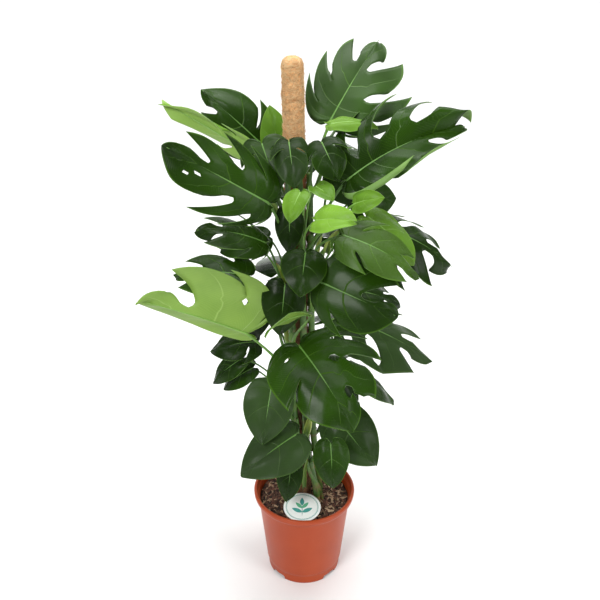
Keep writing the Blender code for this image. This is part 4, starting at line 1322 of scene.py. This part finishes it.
def build_stage(finish):
    shape = Shape()
    steps = np.concatenate([[-6.0, -3.0], np.linspace(-1.5, 3.0, 10)])
    profile = [(y, 0.0) for y in steps]
    for turn in np.linspace(0, math.pi / 2, 12)[1:]:
        profile.append((3.0 + 1.5 * math.sin(turn), 1.5 - 1.5 * math.cos(turn)))
    profile += [(4.5, 3.0), (4.5, 6.0)]
    across = np.linspace(-6, 6, 13)
    points = [(x, y, z - 0.0004) for y, z in profile for x in across]
    shape.add(points, [face[::-1] for face in grid_faces(len(profile), 13)])
    backdrop = shape.make("studio_floor", [finish])
    tidy_normals(backdrop)


def lamp(name, place, size, power, aim):
    light = bpy.data.lights.new(name, "AREA")
    light.shape = "RECTANGLE"
    light.size, light.size_y = size
    light.energy = power
    holder = bpy.data.objects.new(name, light)
    bpy.context.scene.collection.objects.link(holder)
    holder.location = place
    holder.rotation_euler = (Vector(aim) - Vector(place)).to_track_quat("-Z", "Y").to_euler()


def build_studio():
    scene = bpy.context.scene
    world = bpy.data.worlds.new("studio_air")
    scene.world = world
    world.use_nodes = True
    world.node_tree.nodes["Background"].inputs["Color"].default_value = (1.0, 1.0, 1.0, 1.0)
    world.node_tree.nodes["Background"].inputs["Strength"].default_value = 0.30
    lamp("key_light", (-1.5, -2.5, 3.0), (1.3, 1.3), 85, (0, 0, 0.65))
    lamp("fill_light", (2.3, -1.8, 1.9), (1.2, 2.0), 42, (0, 0, 0.6))
    lamp("top_light", (0.2, 0.3, 3.2), (1.8, 1.8), 60, (0, 0, 0.6))
    lamp("backdrop_light", (0.0, 1.2, 3.6), (5.0, 1.0), 120, (0, 4.2, 0.6))
    scene.view_settings.view_transform = "Standard"
    lens = bpy.data.cameras.new("photo_view")
    lens.sensor_width = 36.0
    lens.lens = 848 / 600 * 36.0
    lens.clip_end = 60
    camera = bpy.data.objects.new("photo_view", lens)
    scene.collection.objects.link(camera)
    camera.location = (-0.010, -1.56, 1.613)
    camera.rotation_euler = (math.radians(90 - 29.15), 0, 0)
    scene.camera = camera


def build():
    build_studio()
    build_stage(floor_paint())
    stalk_green = stalk_skin("stalk_green", (0.055, 0.125, 0.020), (0.085, 0.20, 0.030), (0.105, 0.25, 0.035))
    stalk_fresh = stalk_skin("stalk_fresh", (0.085, 0.19, 0.025), (0.15, 0.33, 0.045), (0.22, 0.42, 0.070))
    edge = leaf_edge("blade_edge", (0.085, 0.19, 0.030), (0.15, 0.29, 0.050))
    deep, lit, vein = (0.0075, 0.0235, 0.001), (0.0165, 0.05, 0.002), (0.066, 0.155, 0.012)
    upper = leaf_upper("blade_upper_mature", deep, lit, vein, 0.25)
    under = leaf_under("blade_under_mature", (0.105, 0.21, 0.036), (0.14, 0.265, 0.048), (0.19, 0.33, 0.075), 0.50)
    fresh = leaf_upper("blade_upper_young", (0.055, 0.14, 0.01), (0.10, 0.215, 0.016), (0.19, 0.34, 0.045), 0.26)
    pale = leaf_under("blade_under_young", (0.16, 0.29, 0.034), (0.205, 0.35, 0.046), (0.33, 0.50, 0.12), 0.45)
    finishes = {"mature": [upper, under, edge, stalk_green], "young": [fresh, pale, edge, stalk_fresh]}
    nodes = build_leaves(finishes)
    bark_skin = stem_bark("climbing_stem_skin")
    build_stems(nodes, bark_skin)
    build_shoots(bark_skin)
    build_roots(root_skin())
    build_sheaths(sheath_skin())
    build_pot(plastic())
    build_soil(earth())
    build_litter(
        {
            "bark_chips": bark("bark_brown", (0.050, 0.018, 0.011), (0.20, 0.082, 0.046)),
            "pale_splinters": bark("wood_pale", (0.22, 0.115, 0.062), (0.72, 0.50, 0.32)),
            "soil_crumbs": bark("peat_dark", (0.016, 0.008, 0.006), (0.060, 0.028, 0.017)),
        },
    )
    build_pole(
        # in each coir finish the third colour is painted shade, the darker and redder colour of the pole under the
        # crown
        coir("coir_mat", (0.66, 0.310, 0.112), (1.0, 0.590, 0.265), (0.30, 0.105, 0.038), 0.6),
        coir("coir_hair", (0.70, 0.340, 0.125), (1.0, 0.80, 0.46), (0.44, 0.175, 0.066), 0.1),
        coir("coir_thread", (0.50, 0.26, 0.110), (0.70, 0.42, 0.200), (0.20, 0.070, 0.028), 0.3),
    )
    build_label(
        card("card_white", (0.86, 0.88, 0.87), (0.80, 0.82, 0.81), 0.38),
        [
            card("ink_teal", (0.050, 0.30, 0.27), (0.060, 0.34, 0.30), 0.40),
            card("ink_green", (0.110, 0.42, 0.24), (0.13, 0.46, 0.27), 0.40),
            card("ink_grey", (0.090, 0.22, 0.23), (0.10, 0.25, 0.26), 0.40),
        ],
    )
    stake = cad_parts["pole_stake"]
    wood = bark("stake_timber", (0.30, 0.19, 0.10), (0.46, 0.31, 0.17))
    for slot in stake.material_slots:
        slot.material = wood


build()
bpy.context.view_layer.update()
